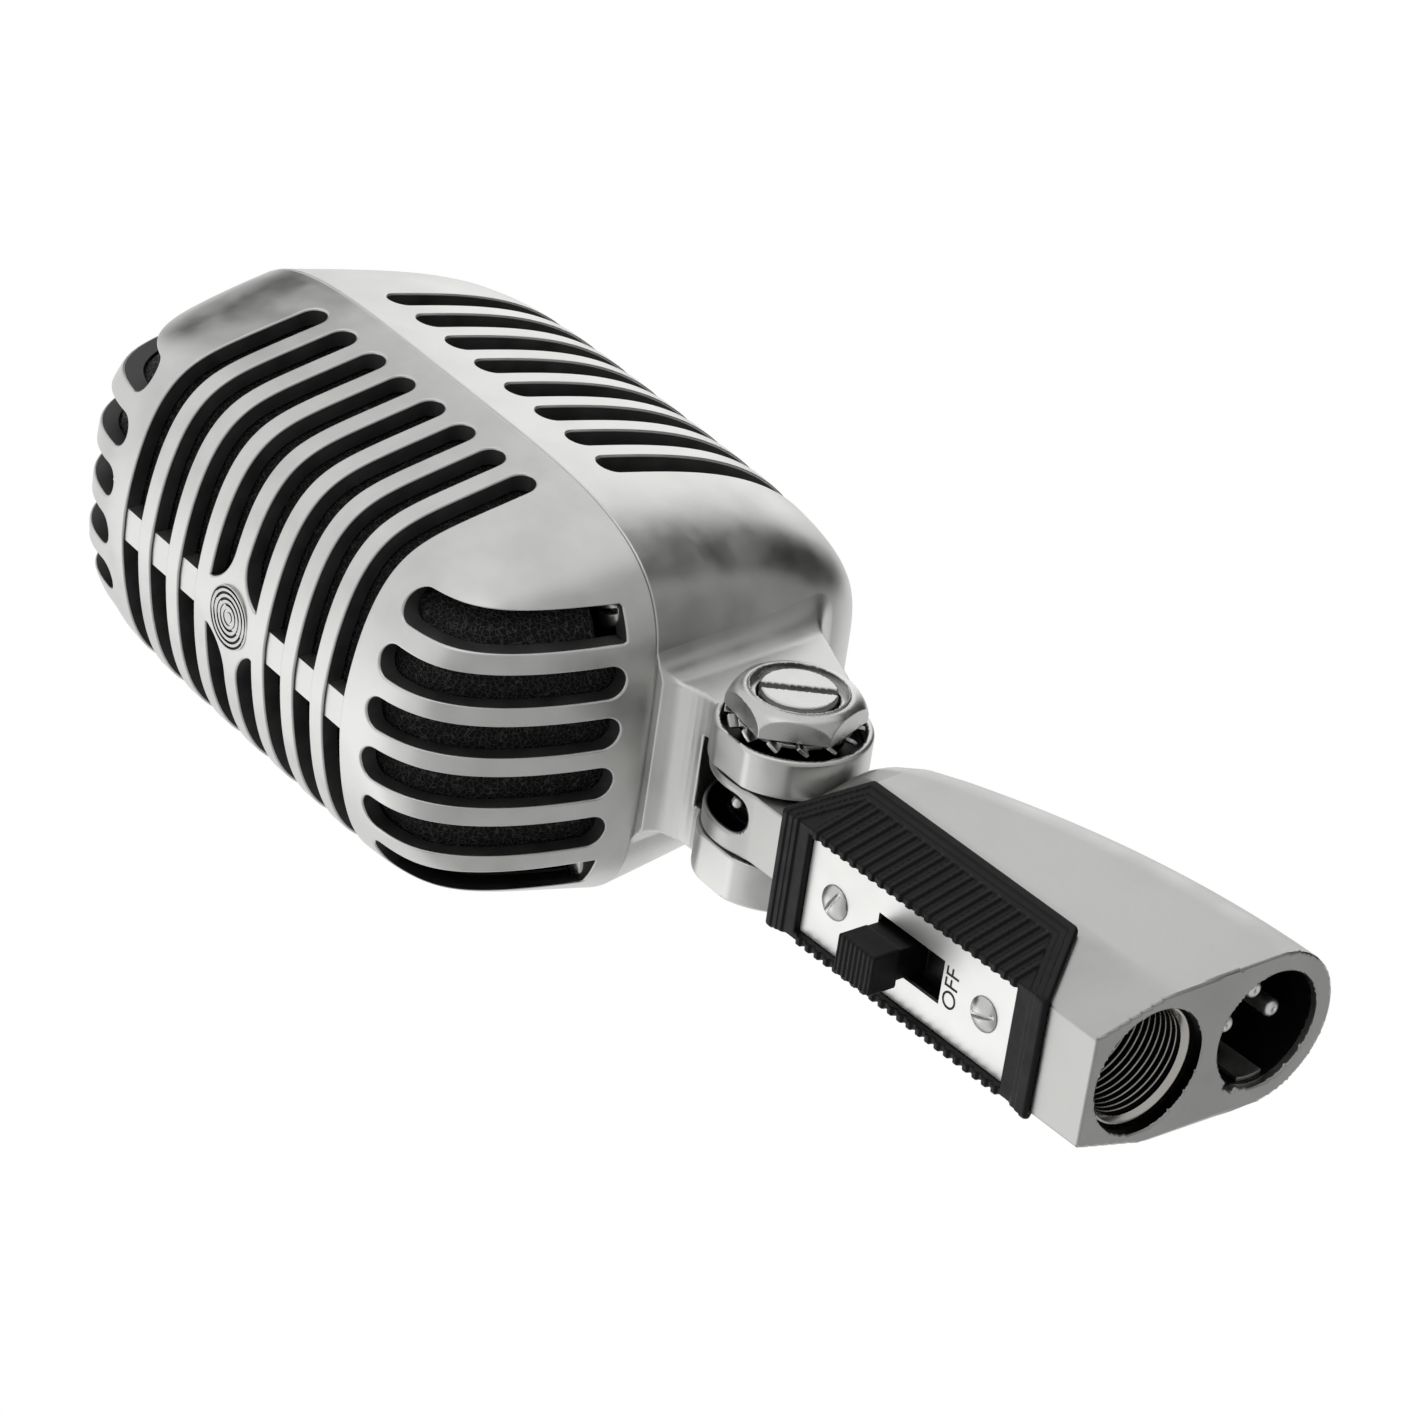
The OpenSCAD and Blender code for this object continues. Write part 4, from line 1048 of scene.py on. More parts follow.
def trim_surround():
    """The moulded trim round the plate.

    Its skin is two sloping flanks, a flat front and two sloping ends. A border runs round it,
    then two steps down to a field from which rounded ribs rise, one per pitch.
    """
    low, high, pitch = value("trim", "low"), value("trim", "high"), value("trim", "rib_pitch")
    plate, ribs = value("trim", "plate_half"), bpy.context.scene.mic_trim.ribs
    middle, face = (low + high) / 2, -10.93
    first = middle - (ribs - 1) * pitch / 2
    # The plate's two ends, and the directions that the lower and upper end slope in
    foot, top = low + 5.6, high - 5.1
    lip = (0.575, -0.818, 0.3235, 0.946)

    def skin(m, y, z):
        """The trim's outer form, with its border, steps and ribs."""
        flank = (m - 8.45) * 0.968 - (y - face) * 0.25
        lower = np.maximum((y + 10.03) * lip[0] + (z - low) * lip[1], low - z)
        upper = np.maximum((y + 10.03) * lip[2] + (z - high) * lip[3], z - high)
        ends = np.maximum(lower, upper)
        edge = -np.maximum(ends, y - 0.5)
        nearest = first + pitch * np.clip(np.round((z - first) / pitch), 0, ribs - 1)
        rib = np.where(m > 6.6, soft_step(0.46 - np.abs(z - nearest), 0.34), 0)
        drop = 0.18 * soft_step(edge - 1.2, 0.16) + 0.15 * soft_step(edge - 2.1, 0.16)
        drop = drop + soft_step(edge - 2.9, 0.2) * (0.26 * (1 - rib) - 0.08 * rib)
        d = meet(meet(flank, face - y, 0.5), ends, 0.6)
        return meet(d, y - 0.5, 0.3) + np.maximum(drop, 0)

    def distance(p):
        m, y, z = np.abs(p[..., 0]), p[..., 1], p[..., 2]
        # The base's front, which the trim's back fits over, less the tray that the back fills
        body = np.maximum((m - 7.8) * 0.9702 - (y + 10.13) * 0.2423, -10.13 - y)
        floor = np.where(z < 17, -8.6, -7.5)
        tray = np.maximum(np.maximum(m - 8, y - floor), np.abs(z - 33) - 20.5)
        d = np.maximum(skin(m, y, z), np.minimum(-body, tray))
        # The well for the plate, and the opening for the switch
        well = np.abs(z - (foot + top) / 2) - (top - foot) / 2 - 0.1
        well = np.maximum(m - plate - 0.1, well)
        d = cut(d, np.maximum(well, y + 8.95), 0.22)
        return np.maximum(d, -np.maximum(np.maximum(m - 3.07, y), np.abs(z - 33.05) - 6.15))

    return sculpted(distance, (-11.7, -11.2, low - 0.5), (11.7, 0.9, high + 0.4), 0.245)


def nut():
    """A hexagonal nut under a dome, with a raised ring round its screw and a round hub below.

    The dome is a ring of round section, of radius 2.9 about a circle of radius 6.2.
    """
    bore, corner = value("swivel", "screw") + 0.12, value("swivel", "nut")
    low, high = NUT
    dome, bend, sixth = 6.2, 2.9, math.pi / 3

    def distance(p):
        x, y, z = np.moveaxis(p, -1, 0)
        r = np.hypot(y, z)
        a = (np.arctan2(z, y) + math.radians(8) + sixth / 2) % sixth - sixth / 2
        flats = r * np.cos(a) - corner * math.cos(sixth / 2)
        d = meet(flats, np.hypot(x - low - 0.5, np.maximum(r - dome, 0)) - bend, 0.05)
        d = meet(d, x - high + 0.22, 0.15)
        d = join(d, meet(r - 6.5, x - high, 0.12), 0.1)
        d = meet(d, low - x, 0.1)
        d = np.minimum(d, np.maximum(r - HUB, np.abs(x - low) - 2.8))
        groove = np.minimum(r - bore, np.maximum(r - bore - 0.87, high - 1.1 - x))
        return cut(d, groove, 0.06)

    return sculpted(distance, (low - 3.1, -9.5, -9.5), (high + 0.3, 9.5, 9.5), 0.21)


def toothed_washer():
    """A lock washer: a flat ring with 14 outer teeth, each turned 38 degrees about its radius."""
    low, teeth, tilt = NUT[0], 14, math.radians(-38)
    across, along = math.cos(tilt), math.sin(tilt)

    def distance(p):
        x, y, z = p[..., 0] - low + 0.72, p[..., 1], p[..., 2]
        r, a = np.hypot(y, z), np.arctan2(z, y)
        a = (a * teeth / (2 * math.pi) + 0.15) % 1 - 0.5
        t = a * 2 * math.pi / teeth * r
        u, w = t * across + x * along, x * across - t * along
        ring = np.maximum(np.abs(r - 6.8) - 0.75, np.abs(x) - 0.3)
        tooth = meet(np.abs(r - 8.05) - 0.8, np.abs(u) - 0.92, 0.12)
        return join(ring, meet(tooth, np.abs(w) - 0.26, 0.08), 0.1)

    return sculpted(distance, (low - 1.7, -9.2, -9.2), (low + 0.2, 9.2, 9.2), 0.15)


def pivot_screw():
    """The big screw through the swivel: a broad low head, a plain shank and a slotted end.

    The head is a disc whose face belongs to a sphere of radius 42.75.
    """
    shank = value("swivel", "screw")

    def distance(p):
        x, y, z = np.moveaxis(p, -1, 0)
        r = np.hypot(y, z)
        head = meet(r - 8.0, -12.75 - x, 0.8)
        head = np.maximum(meet(head, np.hypot(r, x - 30) - 42.75, 0.5), x + 11.05)
        d = join(head, meet(r - shank + np.where(x > 12, 0.24, 0.12), x - 15.92, 0.2))
        d = cut(d, np.maximum(slit(y, z, 55, 0.62), 14.4 - x), 0.06)
        return cut(d, np.maximum(slit(y, z, 0, 0.6), x + 11.9), 0.08)

    return sculpted(distance, (-13.1, -8.4, -8.4), (16.1, 8.4, 8.4), 0.24)


def plate_screw(turn):
    """A low domed screw head with a straight slot, on its shank, pointing along -Y.

    The dome is a sphere of radius 3.65, and the head stands on the plate's printed face.
    """
    head, shank = value("trim", "screw_head"), 1.15

    def distance(p):
        x, y, z = np.moveaxis(p, -1, 0)
        r = np.hypot(x, z)
        d = meet(r - head, np.hypot(r, y + 6.85) - 3.65, 0.18)
        d = np.maximum(d, y + 9.5)
        d = cut(d, np.maximum(slit(x, z, turn, 0.27), y + 9.85), 0.06)
        return np.minimum(d, np.maximum(r - shank, np.abs(y + 7.5) - 2.05))

    return sculpted(distance, (-2.7, -10.75, -2.7), (2.7, -5.2, 2.7), 0.13)


def switch_knob():
    """The switch's button: a block with a ridged face on a narrower neck and a flat foot.

    The ridges are half sine waves 0.82 mm apart.
    """

    def bar(x, y, z, half, middle, tall, depth, deep):
        """A bar's half width, its middle and half height, and its middle and half depth."""
        flat = np.maximum(x - half, np.abs(z - middle) - tall)
        return np.maximum(flat, np.abs(y + depth) - deep)

    def distance(p):
        x, y, z = np.abs(p[..., 0]), p[..., 1], p[..., 2]
        ridge = 0.22 * (1 - np.abs(np.cos(math.pi * (z - 35) / 0.82)))
        d = meet(x - 2.8, np.abs(z - 35) - 3.3, 0.35)
        d = meet(d, np.maximum(-16.8 - y + ridge, y + 12.2), 0.3)
        d = join(d, bar(x, y, z, 2.2, 35.5, 3.2, 9.6, 3.6), 0.25)
        return np.minimum(d, bar(x, y, z, 4.1, 35.65, 9.15, 6.5, 0.5))

    return sculpted(distance, (-4.4, -17.1, 26.2), (4.4, -5.7, 45.1), 0.2)


def threaded_sleeve():
    """The stand thread's insert: a bevelled lip, then a helical thread.

    The thread's radius is the mean plus half its depth times a rounded triangle wave of
    (height / pitch - turn), so that its crest climbs one pitch a turn.
    """
    wall, deep = value("base", "thread"), value("base", "thread_depth")
    pitch, outer = value("base", "thread_pitch"), wall + 0.7
    start, steps = 1.05, 120
    lip = [(outer, deep), (outer, 0.12), (wall + 0.6, 0.0), (wall + 0.42, 0.0)]
    lip += [(wall + 0.3, 0.08), (wall - 0.18, 0.75), (wall + 0.2, start)]
    shape = turned(lip, steps)
    turn = np.linspace(0, 2 * math.pi, steps, endpoint=False)
    h = np.linspace(start, deep, int((deep - start) / pitch * 12))[:, None]
    wave = np.abs(2 * ((h / pitch - turn / (2 * math.pi)) % 1) - 1)
    wave = np.clip((wave - 0.5) * 1.35, -0.5, 0.44)
    ease = np.clip((h - start) / 0.5, 0, 1)
    r = (wall + 0.2) * (1 - ease) + ease * (wall + 0.5 * wave)
    p = np.stack([r * np.cos(turn), r * np.sin(turn), h + 0 * turn], -1)
    n = grid_normals(p, True)
    n = np.where(((n * p * [1, 1, 0]).sum(-1) > 0)[..., None], -n, n)
    shape.grid(p, n, wrap=True)
    rim = np.stack([p[-1], p[-1]])
    rim[1, :, :2] = np.stack([np.cos(turn), np.sin(turn)], -1) * outer
    shape.grid(rim, rim * 0 + [0, 0, 1.0], wrap=True)
    return shape


def pins():
    """Three contact pins with rounded, dimpled tips."""
    profile = [(0.0, 0.28), (0.22, 0.18), *arc((0.5, 0.68), 0.68, 235, 355, 8)]
    profile += [(1.18, 1.5), (1.18, 11), (1.0, 11.2), (1.0, 14.1), (0.0, 14.18)]
    pin = turned(profile, 32)
    shape = Shape()
    y, spread, tip = value("base", "socket_y"), 3.85, 3.0
    for place in ((0, y - spread, tip), (spread, y, tip), (0, y + spread, tip)):
        shape.include(pin, lambda p: p + np.array(place))
    return shape


def emblem_disc():
    """The round emblem: a narrow rim, a sunk field of turned rings and a low centre."""
    r, face = value("head", "emblem"), 0.5
    profile = [(0.0, face)]
    for at in EMBLEM_RINGS:
        profile += [(at, face), (at + 0.05, 0.36), (at + 0.31, 0.36), (at + 0.36, face)]
    profile += [(r - 0.52, face), (r - 0.47, 0.3), (r - 0.22, 0.3), (r - 0.17, face)]
    profile += [(r, 0.46), (r, 0.0), (0.0, 0.0)]
    return turned(profile[::-1], 96, crease=25)


# ---- materials ----


def add_node(tree, kind, inputs=None, **settings):
    """Adds a node, sets its properties, and gives each input a value or a link from a socket."""
    node = tree.nodes.new(kind)
    for name, setting in settings.items():
        setattr(node, name, setting)
    for name, source in (inputs or {}).items():
        if isinstance(source, bpy.types.NodeSocket):
            tree.links.new(source, node.inputs[name])
        else:
            node.inputs[name].default_value = source
    return node


def new_material(name, pattern, kind="ShaderNodeBsdfPrincipled"):
    """A material of one shader, whose inputs come from pattern(tree, object coordinates)."""
    material = bpy.data.materials.new(name)
    material.use_nodes = True
    tree = material.node_tree
    tree.nodes.clear()
    place = add_node(tree, "ShaderNodeTexCoord").outputs["Object"]
    shader = add_node(tree, kind, pattern(tree, place))
    add_node(tree, "ShaderNodeOutputMaterial", {"Surface": shader.outputs[0]})
    return material


def tone(code):
    """A hex colour, or one of the colours that a user may change, as linear light."""
    if code.startswith("#"):
        return linear(code)
    return tuple(getattr(bpy.context.scene.mic_finish, code))


def grained(name, colour, rough, grain, depth, blotch, detail, spread, contrast, surface):
    """A finish whose tone and gloss vary in blotches and whose surface has a fine grain.

    Grain, bump depth and blotch are in millimetres, and rough is its lowest and highest
    roughness. The tone darkens by the contrast, over a spread of noise about its middle.
    """
    light = tone(colour)
    dark = tuple(c * (1 - contrast) for c in light)

    def pattern(tree, place):
        kind = "ShaderNodeTexNoise"
        fine = {"Vector": place, "Scale": 1 / (grain * MM), "Detail": 3.0, "Roughness": 0.6}
        fine = add_node(tree, kind, fine).outputs["Fac"]
        broad = {"Vector": place, "Scale": 1 / (blotch * MM), "Detail": detail}
        broad = add_node(tree, kind, broad).outputs["Fac"]
        kind = "ShaderNodeMapRange"
        share = {"Value": broad, "From Min": 0.5 - spread, "From Max": 0.5 + spread}
        share = add_node(tree, kind, share).outputs["Result"]
        gloss = {"Value": broad, "From Min": 0.3, "From Max": 0.7}
        gloss = add_node(tree, kind, {**gloss, "To Min": rough[0], "To Max": rough[1]})
        mix = {"Factor": share, 6: (*dark, 1), 7: (*light, 1)}
        bump = {"Height": fine, "Distance": depth * MM, "Strength": 1.0}
        return {
            "Base Color": add_node(tree, "ShaderNodeMix", mix, data_type="RGBA").outputs[2],
            "Roughness": gloss.outputs["Result"],
            "Normal": add_node(tree, "ShaderNodeBump", bump).outputs["Normal"],
            **surface,
        }

    return new_material(name, pattern)


def metal(name, colour, low, high, grain, depth, blotch, contrast=0.08):
    """A bare or plated metal, which keeps the shader's own IOR."""
    surface = {"Metallic": 1.0}
    return grained(name, colour, (low, high), grain, depth, blotch, 3.0, 0.2, contrast, surface)


def plastic(name, colour, low, high, grain, depth, contrast=0.3, shine=0.3):
    """A plastic, rubber, board or ink, with blotches 14 grains wide."""
    surface = {"IOR": 1.5, "Specular IOR Level": shine}
    return grained(
        name, colour, (low, high), grain, depth, grain * 14, 2.0, 0.15, contrast, surface
    )


def banded(name, colour, groove, width, axis, metallic, low, high):
    """A stack or winding: bands of a width in millimetres along an axis, with grooves between them
    painted darker as shade.
    """

    def pattern(tree, place):
        # A wave texture's bands are 0.314 over its scale apart
        wave = {"Vector": place, "Scale": 0.314 / (width * MM), "Distortion": 0.4}
        wave = add_node(tree, "ShaderNodeTexWave", wave, bands_direction=axis).outputs["Fac"]
        bump = add_node(tree, "ShaderNodeBump", {"Height": wave, "Distance": 0.1 * width * MM})
        rough = add_node(tree, "ShaderNodeMapRange", {"Value": wave, "To Min": high, "To Max": low})
        mix = {"Factor": wave, 6: (*tone(groove), 1), 7: (*tone(colour), 1)}
        return {
            "Base Color": add_node(tree, "ShaderNodeMix", mix, data_type="RGBA").outputs[2],
            "Metallic": metallic,
            "Roughness": rough.outputs["Result"],
            "Normal": bump.outputs["Normal"],
        }

    return new_material(name, pattern)


def open_cell_foam():
    """Reticulated polyurethane foam: strands round cells about 0.7 mm across, glinting faintly,
    with painted light on the strands and painted shade in the hollows between them.
    """

    def pattern(tree, place):
        warp = {"Vector": place, "Scale": 900.0, "Detail": 2.0}
        warp = add_node(tree, "ShaderNodeTexNoise", warp).outputs["Color"]
        moved = {"Factor": 0.0006, 4: place, 5: warp}
        moved = add_node(tree, "ShaderNodeMix", moved, data_type="VECTOR").outputs[1]
        cells = {"Vector": moved, "Scale": 1 / (0.7 * MM)}
        cells = add_node(tree, "ShaderNodeTexVoronoi", cells, feature="DISTANCE_TO_EDGE")
        strand = {"Value": cells.outputs["Distance"], "From Min": 0.02, "From Max": 0.16}
        strand = add_node(tree, "ShaderNodeMapRange", {**strand, "To Min": 1, "To Max": 0})
        strand = strand.outputs["Result"]
        rough = {"Value": strand, "To Min": 0.9, "To Max": 0.45}
        rough = add_node(tree, "ShaderNodeMapRange", rough)
        bump = {"Height": strand, "Distance": 0.35 * MM, "Strength": 1.0}
        # Painted shade in the cells' hollows, 0.3 of the foam's colour, and painted light on the
        # strands, a lighter grey
        cell_shade = tuple(0.3 * c for c in tone("foam"))
        mix = {"Factor": strand, 6: (*cell_shade, 1), 7: (*linear("#3E3E3E"), 1)}
        return {
            "Base Color": add_node(tree, "ShaderNodeMix", mix, data_type="RGBA").outputs[2],
            "Roughness": rough.outputs["Result"],
            "IOR": 1.5,
            "Specular IOR Level": 0.35,
            "Normal": add_node(tree, "ShaderNodeBump", bump).outputs["Normal"],
        }

    return new_material("open_cell_foam", pattern)


# Each finish has its kind and colour, its lowest and highest roughness, its grain and bump
# depth in millimetres, a metal's blotch width in millimetres, how far its tone darkens, and a
# plastic's specular level. A banded one has its colour, the grooves' darker colour of painted
# shade, the bands' width in millimetres and direction, how metallic it is, and its lowest and
# highest roughness.
FINISHES = {
    # Zinc die casting under a thin satin lacquer: a soft metal sheen with a 0.25 mm grain
    "satin_lacquered_zinc": (metal, "casting", 0.29, 0.44, 0.25, 0.011, 7.0, 0.16),
    # The same lacquer painted a shade darker on the base casting: a shaded copy, painted shade
    "satin_lacquered_zinc_base": (metal, "base", 0.29, 0.44, 0.25, 0.011, 7.0, 0.16),
    # Painted shade: dark grey on the castings' inner faces and slot walls, where shade falls, with
    # a 0.3 mm mottle
    "blackened_casting_inside": (plastic, "#3A3A3A", 0.42, 0.6, 0.3, 0.01, 0.35, 0.4),
    # Nickel-plated turned steel: bright, with faint 0.15 mm tool marks
    "nickel_plated_steel": (metal, "steel", 0.24, 0.36, 0.15, 0.002, 3.0, 0.1),
    # Nickel-plated turned brass: bright crests and lip, with 0.2 mm tool marks
    "nickel_plated_brass": (metal, "thread", 0.18, 0.28, 0.2, 0.002, 4.0, 0.06),
    # Silver-plated contacts: very bright, with a faint 0.2 mm grain
    "silver_plated_brass": (metal, "contact", 0.3, 0.42, 0.2, 0.002, 2.0, 0.04),
    # Satin anodised aluminium plate: pale, with a 0.1 mm matt grain
    "satin_silver_plate": (metal, "plate", 0.42, 0.5, 0.1, 0.001, 6.0, 0.02),
    # Die-struck nickel silver: bright raised rings, with a 0.2 mm grain
    "die_struck_nickel_silver": (metal, "emblem", 0.32, 0.45, 0.2, 0.003, 1.0, 0.2),
    # Deep-drawn aluminium can: soft grey with faint 0.3 mm drawing grain
    "drawn_aluminium": (metal, "#B9BABB", 0.3, 0.42, 0.3, 0.003, 6.0),
    # Turned soft iron with a thin zinc flash: duller grey, with 0.2 mm tool marks
    "turned_soft_iron": (metal, "#8E8D8B", 0.32, 0.46, 0.2, 0.004, 4.0, 0.15),
    # Cast aluminium-nickel-cobalt magnet, ground on its faces: mid grey with 0.5 mm pits
    "ground_cast_magnet": (metal, "#7A7876", 0.36, 0.55, 0.5, 0.02, 3.0, 0.2),
    # Pressed steel with bright zinc plating: pale, with spangle about 2 mm across
    "zinc_plated_steel": (metal, "#B4B6B8", 0.26, 0.4, 0.4, 0.003, 2.0, 0.12),
    # Rolled spring brass: yellow, with a faint 0.3 mm rolling grain
    "rolled_spring_brass": (metal, "#C9A85C", 0.2, 0.34, 0.3, 0.003, 3.0, 0.15),
    # Injection-moulded ABS with a fine spark-eroded texture of about 0.12 mm
    "moulded_black_abs": (plastic, "plastic", 0.38, 0.5, 0.12, 0.006, 0.3, 0.2),
    # Moulded neoprene: matt black with a bloom in patches about 4 mm across
    "moulded_neoprene": (plastic, "#161616", 0.6, 0.78, 0.3, 0.01),
    # Extruded polyvinyl chloride on fine leads: smooth, a little glossy, with a 0.4 mm grain
    "extruded_wire_insulation": (plastic, "#2A2A2C", 0.3, 0.42, 0.4, 0.002),
    # Punched vulcanised fibre: grey-brown, with 0.4 mm fibres
    "vulcanised_fibre": (plastic, "#3B3733", 0.6, 0.75, 0.4, 0.02, 0.35),
    # Paper-filled phenolic board: brown, with 0.6 mm flecks
    "phenolic_board": (plastic, "#6B4526", 0.35, 0.5, 0.6, 0.004, 0.3),
    # Thin formed polyester film: amber grey with a soft gloss in 0.8 mm ripples
    "polyester_film": (plastic, "#8E8A80", 0.12, 0.2, 0.8, 0.002, 0.1),
    # Screen-printed black ink: flat, with edges a little thinner in 0.2 mm specks
    "screen_printed_ink": (plastic, "#101011", 0.45, 0.6, 0.2, 0.002, 0.4),
    # Fine enamelled copper wire wound in turns, drawn 0.35 mm apart so that they show
    "enamelled_copper_wire": (banded, "#B0602E", "#5A2A12", 0.35, "Y", 1.0, 0.25, 0.4),
    # Stamped silicon-steel laminations 0.5 mm thick, stacked front to back
    "silicon_steel_laminations": (banded, "#77797B", "#3C3E40", 0.5, "Y", 1.0, 0.35, 0.5),
    # Yellow polyester tape wound over a coil in 3 mm turns
    "wound_polyester_tape": (banded, "#C7A433", "#9A7A1E", 3.0, "X", 0.0, 0.3, 0.45),
}


def finish(name):
    """Makes one of the finishes above."""
    kind, *look = FINISHES[name]
    return kind(name, *look)


def inside(tree, length, low, high, soft):
    """1 where a length in metres lies between two limits in millimetres, and 0 elsewhere."""
    ends = {}
    for i, (limit, outer, inner) in enumerate(((low, 0, 1), (high, 1, 0))):
        near = {"Value": length, "From Min": (limit - soft) * MM, "From Max": (limit + soft) * MM}
        near = add_node(tree, "ShaderNodeMapRange", {**near, "To Min": outer, "To Max": inner})
        ends[i] = near.outputs["Result"]
    return add_node(tree, "ShaderNodeMath", ends, operation="MULTIPLY").outputs[0]


def in_ring(tree, place, centre, axis, low, high, along=None, soft=(0.02, 0.02)):
    """1 in a ring about an axis, 0 for X, 1 for Y and 2 for Z, and 0 elsewhere.

    Its centre, its two radii and the two ends along the axis are in millimetres, and each
    border fades over twice its soft width.
    """
    kind = "ShaderNodeVectorMath"
    moved = add_node(tree, kind, {0: place, 1: [-c * MM for c in centre]}, operation="ADD")
    keep = [float(i != axis) for i in range(3)]
    flat = add_node(tree, kind, {0: moved.outputs[0], 1: keep}, operation="MULTIPLY")
    away = add_node(tree, kind, {0: flat.outputs[0]}, operation="LENGTH").outputs["Value"]
    ring = inside(tree, away, low, high, soft[0])
    if along is None:
        return ring
    height = add_node(tree, "ShaderNodeSeparateXYZ", {"Vector": place}).outputs[axis]
    both = {0: ring, 1: inside(tree, height, *along, soft[1])}
    return add_node(tree, "ShaderNodeMath", both, operation="MULTIPLY").outputs[0]


def darkened(material, name, rings):
    """Renames a material and paints shade, in the recess shade colour, into some rings, each given
    as in_ring takes it.
    """
    material.name = name
    tree = material.node_tree
    shader = next(n for n in tree.nodes if n.type == "BSDF_PRINCIPLED")
    place = next(n for n in tree.nodes if n.type == "TEX_COORD").outputs["Object"]
    masks = [in_ring(tree, place, *ring) for ring in rings]
    dark = masks[0]
    for mask in masks[1:]:
        dark = add_node(tree, "ShaderNodeMath", {0: dark, 1: mask}, operation="MAXIMUM").outputs[0]
    old = shader.inputs["Base Color"].links[0].from_socket
    mix = {"Factor": dark, 6: old, 7: (*tone("patina"), 1)}
    mix = add_node(tree, "ShaderNodeMix", mix, data_type="RGBA")
    tree.links.new(mix.outputs[2], shader.inputs["Base Color"])
    return material


def near_pivot(radius, low, high):
    """The ring within a radius of the swivel's axis, between two places along it."""
    return PIVOT, 0, -1, radius, (low, high)


def base_casting_finish():
    """The base's satin lacquer, painted darker as shade, with painted shade on the mouth's wall and
    in the cable slot.
    """
    mouth, slot = value("base", "mouth") + 0.07, value("swivel", "knuckle_radius") - 0.5
    rings = [
        ((0, 0, 0), 2, -1, mouth, (FOOT[2] + 0.14, FOOT[2] + 3)),
        near_pivot(slot, CABLE_SLOT - 2.85, CABLE_SLOT + 2.85),
    ]
    return darkened(finish("satin_lacquered_zinc_base"), "satin_lacquered_zinc_base", rings)


def rear_casting_finish():
    """The head's satin lacquer, with painted shade on the floor of the nut's pocket."""
    floor = near_pivot(value("swivel", "pocket") + 0.1, POCKET_FLOOR - 0.3, POCKET_FLOOR + 0.3)
    return darkened(finish("satin_lacquered_zinc"), "satin_lacquered_zinc_rear", [floor])


def nut_steel():
    """Nickel-plated turned steel with painted shade on its hub under the hexagon."""
    hub = near_pivot(HUB + 0.1, 0, NUT[0] - 0.1)
    return darkened(finish("nickel_plated_steel"), "nickel_plated_steel_nut", [hub])


def thread_brass():
    """Nickel-plated turned brass with painted shade in the roots of its thread."""
    wall = value("base", "thread")
    roots = (0, 0, 0), 2, wall - 0.17, wall + 9, (1.0, 40), (0.05, 0.1)
    return darkened(finish("nickel_plated_brass"), "nickel_plated_brass", [roots])


def struck_emblem():
    """Die-struck nickel silver with painted shade in its sunk rings, 0.8 mm apart."""
    centre = [(a + b) / 2 / MM for a, b in zip(*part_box("emblem"))]
    r = value("head", "emblem")
    rings = [(centre, 1, r - 0.52, r - 0.2)] + [(centre, 1, at, at + 0.36) for at in EMBLEM_RINGS]
    return darkened(finish("die_struck_nickel_silver"), "die_struck_nickel_silver", rings)


# ---- the stage ----


# The object's middle in millimetres
MIDDLE = np.array([0, 0, 70.0])

# Name, place from the object's middle in metres, width in metres, power in watts
LAMPS = [
    ("front_light", (-0.9, -1.1, 1.1), 1.2, 2.2),
    ("back_light", (0.45, 1.2, 1.1), 1.3, 2.0),
    ("side_light", (1.5, -0.55, -0.1), 0.9, 1.0),
]

# Name, place from the object's middle in metres, width and height in metres, and the colour that
# the card glows with
FLAGS = [
    ("flank_flag", (0.28, 0.34, 0.84), 0.42, 0.42, "#242424"),
    ("back_flag", (0.34, 0.84, 0.0), 0.98, 0.75, "#303030"),
    ("under_flag", (0.08, 0.5, -0.55), 0.55, 0.5, "#808080"),
]


def mottled(tree, place, width, first, second):
    """Two tones in soft lumps of a width in millimetres."""
    lumps = add_node(tree, "ShaderNodeTexNoise", {"Vector": place, "Scale": 1 / (width * MM)})
    mix = {"Factor": lumps.outputs["Fac"], 6: (*first, 1), 7: (*second, 1)}
    return add_node(tree, "ShaderNodeMix", mix, data_type="RGBA").outputs[2]


def add_card(name, corners, facing, material):
    """A flat card of the stage with four corners in millimetres, given as a grid of 2 by 2."""
    shape = Shape()
    shape.grid(corners, corners * 0 + facing)
    me = shape.mesh(name, lambda q: q)
    me.materials.append(material)
    card = bpy.data.objects.new(name, me)
    bpy.context.scene.collection.objects.link(card)
    return card


